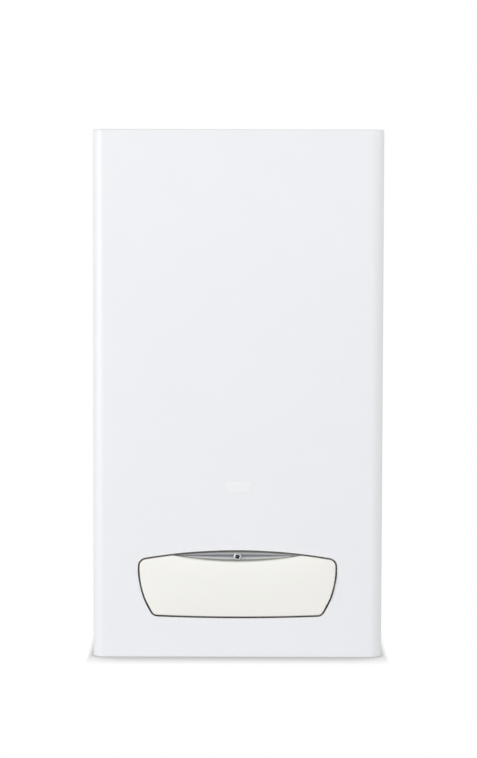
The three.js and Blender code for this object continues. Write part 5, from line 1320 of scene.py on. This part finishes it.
class BOILER_OT_hydraulics(BoilerPiece):
    """Makes the brass blocks, the pipes, the pump, the valves and their knobs."""

    bl_idname = "boiler.hydraulics"
    bl_label = "Water and gas side"

    def execute(self, context):
        self.blocks()
        self.pipes()
        self.pump()
        self.valves()
        self.vessel()
        dress("bright_steel", "pump_wheel", "plate_exchanger")
        return {"FINISHED"}

    def stub(self, x, y, radius, low, high):
        return lathe([(0, low), (radius, low), (radius, high), (0, high)], "z", (x, y), 0.8, 40)

    def barrel(self, start, end):
        """Horizontal body with a bead round it near each end."""
        line = [(0, start), (16, start), (18, start + 2), (18, end - 2), (16, end), (0, end)]
        shapes = [lathe(line, "x", (TAIL_Y, 90), 1)]
        for x in (start + 9, end - 9):
            bead = [(17, x - 2), (18.4, x - 1.4), (18.4, x + 1.4), (17, x + 2)]
            shapes.append(lathe(bead, "x", (TAIL_Y, 90)))
        return shapes

    def blocks(self):
        """The two brass manifolds, with the diverter's chamber and the pump's seat."""
        b = 63
        left = self.barrel(-152, -46)
        left += [self.stub(-130, TAIL_Y, 15, b, 90), self.stub(-65, TAIL_Y, 13, b, 90)]
        left += [self.stub(-130, TAIL_Y, 12, 90, 118), self.stub(-75, TAIL_Y, 9, 90, 125.7)]
        left += [block((-0.110, 0.066, 0.078), (-0.084, 0.1, 0.102), 1.5 * MM)]
        chamber = [(0, 72), (15, 72), (17, 75), (17, 134), (20, 134), (20, 140), (5, 140), (5, 100), (0, 100)]
        left += [lathe(chamber, "z", (-97, 66), 0.8)]
        piece("flow_manifold", left, "brass", "boiler", ["flow_block"])
        right = self.barrel(48, 154)
        right += [self.stub(65, TAIL_Y, 13, b, 90), self.stub(130, TAIL_Y, 15, b, 90)]
        right += [self.stub(75, TAIL_Y, 9, 90, 125.7), self.stub(97, TAIL_Y, 7, 47, 90)]
        right += [self.stub(100, 105.7, 8, 90, 114), self.stub(112, 48, 15, 77, 103.3)]
        right += [lathe([(0, 40), (13, 40), (13, 100), (0, 100)], "y", (112, 88), 1)]
        piece("return_manifold", right, "brass", "boiler", ["return_block"])
        spindle = [(0, 100), (4.4, 100), (4.4, 108), (3, 109), (3, 154), (0, 154)]
        rod = lathe(spindle, "z", (-97, 66), 0.3, 32)
        piece("diverter_rod", [rod], "bright_steel", "diverter", ["diverter_spindle"])

    def pipes(self):
        """Smooth copper pipes, with brass nuts where they meet the blocks."""
        heads = [(-150.3, -81, 458), (-170, -81, 458), (-170, -81, 205), (-130, 100, 205), (-130, 100, 130.3)]
        flow = pipe(heads, 8, 18)
        tails = [(150.3, 31, 458), (170, 31, 458), (170, 31, 242), (112, 48, 242), (112, 48, 196.6)]
        back = pipe(tails, 8, 18)
        gas = pipe([(0, 100, 63.1), (0, 100, 84), (0, -8, 84), (0, -8, 145.6)], 9, 18)
        low = pipe([(100, 105.7, 114.3), (100, 105.7, 333.7)], 5, 1)
        thin = [(84, -111, 69.6), (84, -111, 51), (84, -84, 51), (84, -84, 34)]
        thin += [(84, 48, 34), (84, 48, 84), (96.7, 48, 84)]
        runs = {"flow_pipe": flow, "return_pipe": back, "gas_pipe": gas, "vessel_pipe": low}
        for name, shape in runs.items():
            piece(name + "_bent", [shape], "copper", "boiler", [name])
        piece("capillary_tube", [pipe(thin, 1.6, 6, 16)], "copper", "boiler", ["gauge_capillary"])
        nuts = union_nut((-130, 100), 119.5, 130, 27)
        nuts += union_nut((112, 48), 197, 207, 30) + union_nut((0, -8), 134, 145, 27)
        nuts += union_nut((0, 100), 64.8, 74, 27) + union_nut((100, 105.7), 115.5, 123, 17)
        piece("union_nuts", nuts, "brass", "boiler", crease=28)

    def pump(self):
        """Cast volute with its flange bolts, and the motor with ribs round its can."""
        y, x, z = 48, 112, 150
        bowl = [(0, y + 24), (30, y + 24), (42, y + 18), (46, y + 10)]
        bowl += [(46, y - 18), (34, y - 18), (34, y + 12), (0, y + 12)]
        cast = [lathe(bowl, "y", (x, z), 1.6, 96)]
        cast += [self.stub(x, y, 17, 103.7, 112), self.stub(x, y, 15, 188, 196.3)]
        cast += [self.stub(x + 34, y + 4, 9, 170, 195.7)]
        cast += [nut(31 * MM, 0.1037, 0.1117, 0.008, "z", (x * MM, y * MM))]
        piece("pump_volute", cast, "cast_iron", "boiler", ["pump_body"])
        seat = 29.7
        can = [(0, seat), (46, seat), (46, seat - 5), (40, seat - 8), (40, seat - 58), (36, seat - 64)]
        can += [(10, seat - 64), (10, seat - 66.6), (0, seat - 66.6)]
        line = can[:4] + [(40, seat - 12)]
        for k in range(9):
            d = 13 + 4.6 * k
            line += [(40, seat - d), (38.2, seat - d - 0.7), (38.2, seat - d - 2.2), (40, seat - d - 2.9)]
        line += can[4:]
        shell = lathe(line, "y", (x, z), 0.4, 96)
        box = block((0.086, -0.0203, 0.180), (0.138, 0.0177, 0.202), 2.5 * MM)
        piece("pump_can", [shell, box], "cast_alloy", "boiler", ["pump_motor"])
        heads = []
        for a in np.radians([45, 135, 225, 315]):
            place = np.array([x + 42 * math.cos(a), seat - 5, z + 42 * math.sin(a)]) * MM
            heads.append(screw(place, "y", -1, 3 * MM))
        heads += [screw((xx, -0.0203, 0.191), "y", -1, 2.4 * MM) for xx in (0.092, 0.132)]
        piece("pump_screws", heads, "bright_steel", "boiler")
        base = 196
        vent = [(0, base), (8, base), (8, base + 3), (13, base + 5)]
        vent += [(13, base + 26), (5, base + 29), (5, base + 32), (0, base + 32)]
        cap = fluted(24, 0.6 * MM, 13 * MM, 0.206, 0.221)
        shape = lathe(vent, "z", (146, 52), 0.8, 144, cap)
        piece("vent_body", [shape], "brass", "boiler", ["air_vent"])

    def valves(self):
        """Gas valve, safety valve, diverter motor, and the two hand knobs."""
        body = [block((-0.036, -0.042, 0.150), (0.036, 0.020, 0.206), 2.5 * MM)]
        body += [lathe([(0, 204), (13, 204), (13, 215), (0, 215)], "z", (0, -8), 0.8)]
        body += [nut(26 * MM, 0.146, 0.1515, 0.009, "z", (0, -0.008))]
        body += [lathe([(0, 204), (10, 204), (10, 216), (8, 218), (0, 218)], "z", (24, -28), 0.6)]
        for x in (-18, 18):
            coil = [(0, -40), (12, -40), (12, -55), (10.5, -57.5), (4, -57.5), (4, -58), (0, -58)]
            body.append(lathe(coil, "y", (x, 178), 0.6, 48))
        piece("gas_valve_body", body, "cast_alloy", "boiler", ["gas_valve"])
        heads = [screw((x, -0.042, z), "y", -1, 2.6 * MM) for x in (-0.030, 0.030) for z in (0.156, 0.200)]
        piece("gas_valve_screws", heads, "bright_steel", "boiler")
        motor = [block((-0.119, 0.044, 0.1403), (-0.075, 0.088, 0.1863), 2.5 * MM)]
        motor += [block((-0.109, 0.039, 0.1663), (-0.085, 0.046, 0.1803), 0.8 * MM)]
        piece("diverter_drive", motor, "dark_plastic", "boiler", ["diverter_motor"])
        line = [(0, 82), (9, 82), (9, 72), (12, 72), (12, 52), (10, 48), (10, 34), (0, 34)]
        safety = [lathe(line, "y", (148, 86), 0.6)]
        outlet = [(0, 148), (6, 148), (6, 172), (4, 172), (4, 160), (0, 160)]
        safety += [lathe(outlet, "x", (62, 86), 0.4, 40)]
        safety += [nut(23 * MM, 0.0725, 0.0795, 0.006, "y", (0.148, 0.086))]
        piece("safety_valve_body", safety, "brass", "boiler", ["safety_valve"])
        wheel = [(0, 17.7), (12, 17.7), (14, 19.7), (14, 29.7), (11, 33.7), (0, 33.7)]
        shape = lathe(wheel, "y", (148, 86), 1.2, 144, fluted(12, 1.6 * MM, 14 * MM, 0.0172, 0.0310))
        piece("safety_wheel", [shape], "red_plastic", "safety_control", ["safety_knob"])
        knob = [(0, 27), (10, 27), (11, 28.5), (11, 39), (9, 41), (6, 46.4), (0, 46.4)]
        shape = lathe(knob, "z", (97, 100), 0.8, 144, fluted(12, 1.3 * MM, 11 * MM, 0.0262, 0.0415))
        piece("filling_wheel", [shape], "blue_plastic", "filling_control", ["filling_knob"])

    def vessel(self):
        """Two dished shells with a rolled seam, and the water port."""
        y, x, z = 105.7, 0, 470
        r, half = 154, 36
        a = np.linspace(0, 1, 14)
        dish = [(r * k, y - half + 16 * k**5) for k in a] + [(r, y - half + 20), (r, y - 3)]
        seam = [(160, y - 2.5), (160, y + 2.5), (r, y + 3)]
        rear = [(k, 2 * y - d) for k, d in dish[:-1][::-1]]
        shell = lathe(dish + seam + rear, "y", (x, z), 1.2, 128)
        port = self.stub(100, y, 9, 334, 380)
        piece("vessel_shell", [shell, port], "vessel_paint", "boiler", ["expansion_vessel"])


# ---------------------------------------------------------------- chassis and chamber
class BOILER_OT_chassis(BoilerPiece):
    """Makes the top panel and the blanked inlet, and finishes the frame, the tray, the control
    box and the sealed chamber with all that is in it."""

    bl_idname = "boiler.chassis"
    bl_label = "Chassis and chamber"

    def execute(self, context):
        self.top()
        self.gland()
        self.fixings()
        dress("galvanised", "back_frame", "connection_tray", "chamber_shell", "chamber_cover")
        dress("galvanised", "fan_housing", "fan_wheel", "gas_manifold")
        dress("aluminised", "firebox", "flue_hood")
        dress("bright_steel", "burner")
        dress("fibre", "fibre_lining")
        dress("copper", "heat_exchanger")
        dress("cast_alloy", "fan_motor")
        dress("dark_plastic", "air_pressure_switch")
        dress("porcelain", "electrodes")
        dress("clear_plastic", "sight_glass")
        dress("box_plastic", "control_box", "control_box_lid")
        dress("board", "circuit_board")
        return {"FINISHED"}

    def top(self):
        """Top panel, flat with two round holes and a front lip, and the dished blank."""
        low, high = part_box("top_panel")
        cut = 16 * MM
        x0, x1, y0, y1 = low[0], high[0], low[1], high[1]
        outline = [(x1, y1), (x0, y1), (x0, y0 + cut), (x0 + cut, y0), (x1 - cut, y0), (x1, y0 + cut)]
        holes = [circle((0, 0.015), 52 * MM, 128), circle((-0.115, 0.015), 42 * MM, 128)]
        plate = turned_to(filled(np.array(outline), holes, high[2]), "z")
        made = piece(
            "roof", [plate], "roof_paint", "boiler", ["top_panel"], outward=(0, 0, 1)
        )
        wall = made.modifiers.new("sheet", "SOLIDIFY")
        wall.thickness, wall.offset = high[2] - 0.724, -1
        lip = block((x0 + cut, y0, low[2]), (x1 - cut, y0 + SHEET, high[2] - 0.1 * MM), 0.3 * MM)
        piece("roof_lip", [lip], "casing_paint", "boiler")
        z, r = 725.5, 42
        line = [(0, z - 1), (r - 2, z - 1), (r - 2, z - 8), (r - 0.5, z - 8), (r - 0.5, z), (r + 6, z)]
        line += [(r + 6, z + 1.2), (r + 2, z + 1.2), (r - 8, z + 2.4), (0, z + 2.4)]
        disc = lathe(line, "z", (-115, 15), 0.7, 128)
        piece("inlet_blank", [disc], "galvanised", "boiler", ["intake_blank"])

    def gland(self):
        """Cable gland: a threaded bush and a domed hexagonal nut under the control box."""
        z = 44
        bush = [(0, z + 9), (7, z + 9), (7, z - 0.3), (11, z - 0.3), (11, z - 3), (8, z - 3)]
        bush += [(8, z - 8), (6.5, z - 14), (4, z - 14), (3, z - 11), (0, z - 11)]
        shapes = [lathe(bush, "z", (-120, -88), 0.6, 48)]
        shapes += [nut(20 * MM, 0.0365, 0.0408, 0.006, "z", (-0.120, -0.088))]
        piece("gland_body", shapes, "dark_plastic", "boiler", ["cable_gland"])

    def fixings(self):
        """Pan head screws in the tray, the top panel, the control box and the back frame."""
        heads = [screw((x, 0.128, 0.0600), "z", -1) for x in (-0.165, -0.0975, -0.0325, 0.0325, 0.165)]
        heads += [screw((x, 0.074, 0.0600), "z", -1) for x in (-0.165, -0.0325, 0.0325, 0.165)]
        heads += [screw((x, y, 0.7252), "z", 1) for x in (-0.185, 0.185) for y in (-0.115, 0.0, 0.125)]
        heads += [screw((x, -0.100, 0.0440), "z", -1, 3 * MM) for x in (-0.175, -0.06, 0.03, 0.175)]
        up = (0.03, 0.24, 0.45, 0.66)
        heads += [screw((x, 0.1495, z), "y", 1, 3 * MM) for x in (-0.185, 0.185) for z in up]
        piece("fixing_screws", heads, "bright_steel", "boiler")


# ---------------------------------------------------------------- stage
def look(name, lens, place, pitch, roll):
    """A camera at a place, tilted down by the pitch and rolled, both in degrees."""
    data = bpy.data.cameras.new(name)
    data.lens = lens
    made = bpy.data.objects.new(name, data)
    bpy.context.scene.collection.objects.link(made)
    made.location = place
    made.rotation_euler = (math.radians(90 - pitch), math.radians(roll), 0)
    return made


def lamp(name, place, aim, size, power, colour):
    """A rectangular soft light at a place, facing its aim."""
    data = bpy.data.lights.new(name, "AREA")
    data.shape, data.size, data.size_y = "RECTANGLE", *size
    data.energy, data.color = power, colour
    made = bpy.data.objects.new(name, data)
    bpy.context.scene.collection.objects.link(made)
    made.location = place
    made.rotation_euler = (Vector(aim) - Vector(place)).to_track_quat("-Z", "Y").to_euler()
    return made


class BOILER_OT_stage(BoilerPiece):
    """Makes the pale floor, the lights, the surroundings and the camera."""

    bl_idname = "boiler.stage"
    bl_label = "Stage"

    def execute(self, context):
        scene = context.scene
        scene.view_settings.view_transform = "Standard"
        self.floor()
        self.surroundings(scene)
        lamp("key", (-2.97, -2.97, 0.6), (0, 0, 0.3), (1.0, 1.4), 45, (0.98, 0.99, 1.0))
        lamp("left", (-3.806, -1.775, 0.6), (0, 0, 0.3), (1.0, 1.4), 29, (0.98, 0.99, 1.0))
        lamp("right", (3.637, -2.1, 1.9), (0, 0, 0.45), (1.0, 1.4), 45, (1.0, 0.99, 0.97))
        lamp("front", (-0.3, -5.0, 1.2), (0, 0, 0.3), (3.0, 1.6), 18.6, (0.99, 0.99, 1.0))
        scene.camera = look("camera", 138.5, (-0.0002, FRONT - 4.0, 0.7164), 4.7, -0.15)
        return {"FINISHED"}

    def floor(self):
        """White floor. The camera sees it plain white out to the horizon, less the boiler's
        contact shadow: the share of the sky that the boiler hides from each place. Beside the
        casing that shadow is drawn in to a narrow line."""
        made = bpy.data.materials.new(PREFIX + "floor")
        made.use_nodes = True
        tree = made.node_tree
        tree.nodes.clear()
        seen = add(tree, "ShaderNodeLightPath").outputs["Is Camera Ray"]
        open_sky = add(tree, "ShaderNodeAmbientOcclusion", {"Distance": 0.058}, samples=24).outputs["AO"]
        place = add(tree, "ShaderNodeTexCoord").outputs["Object"]
        sideways = add(tree, "ShaderNodeSeparateXYZ", {0: place}).outputs[0]
        off_centre = maths(tree, "ABSOLUTE", sideways)
        beside = spread(tree, off_centre, HALF_WIDTH - 1 * MM, HALF_WIDTH + 9 * MM)
        shadow = spread(tree, open_sky, 0.5, 1.0, 0.53, 1.0)
        tone = maths(tree, "MAXIMUM", shadow, maths(tree, "SQRT", beside))
        matt = add(tree, "ShaderNodeBsdfDiffuse", {"Color": (0.8, 0.8, 0.8, 1)})
        bright = add(tree, "ShaderNodeEmission", {"Color": tone})
        both = add(tree, "ShaderNodeMixShader", {0: seen, 1: matt.outputs[0], 2: bright.outputs[0]})
        add(tree, "ShaderNodeOutputMaterial", {"Surface": both.outputs[0]})
        reach = 60.0
        corners = [(-reach, -reach, 0), (reach, -reach, 0), (reach, reach, 0), (-reach, reach, 0)]
        mesh = bpy.data.meshes.new("floor")
        mesh.from_pydata(corners, [], [(0, 1, 2, 3)])
        mesh.materials.append(made)
        floor = bpy.data.objects.new("floor", mesh)
        floor.location.z = -0.2 * MM
        bpy.context.scene.collection.objects.link(floor)

    def surroundings(self, scene):
        """Even light from all round. The camera, mirrors and glass see plain white."""
        world = bpy.data.worlds.new("studio")
        world.use_nodes = True
        tree = world.node_tree
        tree.nodes.clear()
        path = add(tree, "ShaderNodeLightPath").outputs
        direct = maths(tree, "MAXIMUM", path["Is Camera Ray"], path["Is Transmission Ray"])
        white = maths(tree, "MAXIMUM", direct, path["Is Glossy Ray"])
        strength = spread(tree, white, 0.0, 1.0, 0.554, 1.0)
        sky = add(tree, "ShaderNodeBackground", {"Color": (1, 1, 1, 1), "Strength": strength})
        add(tree, "ShaderNodeOutputWorld", {"Surface": sky.outputs[0]})
        scene.world = world


# ---------------------------------------------------------------- panel and order of work
STEPS = [
    BOILER_OT_finishes,
    BOILER_OT_casing,
    BOILER_OT_badge,
    BOILER_OT_door,
    BOILER_OT_grip,
    BOILER_OT_fascia,
    BOILER_OT_knobs,
    BOILER_OT_gauge,
    BOILER_OT_tails,
    BOILER_OT_hydraulics,
    BOILER_OT_chassis,
    BOILER_OT_stage,
]


class BOILER_PT_pieces(bpy.types.Panel):
    """Lists the pieces in the order in which they are made."""

    bl_label = "Boiler"
    bl_idname = "BOILER_PT_pieces"
    bl_space_type = "VIEW_3D"
    bl_region_type = "UI"
    bl_category = "Boiler"

    def draw(self, context):
        for settings in (context.scene.boiler_finishes, context.scene.boiler_sizes):
            box = self.layout.box()
            for name in settings.__annotations__:
                box.prop(settings, name)
        for step in STEPS:
            self.layout.operator(step.bl_idname)


CLASSES = [BoilerFinishes, BoilerSizes, *STEPS, BOILER_PT_pieces]


def register():
    for kind in CLASSES:
        bpy.utils.register_class(kind)
    bpy.types.Scene.boiler_finishes = bpy.props.PointerProperty(type=BoilerFinishes)
    bpy.types.Scene.boiler_sizes = bpy.props.PointerProperty(type=BoilerSizes)


def unregister():
    del bpy.types.Scene.boiler_finishes
    del bpy.types.Scene.boiler_sizes
    for kind in reversed(CLASSES):
        bpy.utils.unregister_class(kind)


def main():
    register()
    for step in STEPS:
        group, action = step.bl_idname.split(".")
        getattr(getattr(bpy.ops, group), action)()


if __name__ == "__main__":
    main()
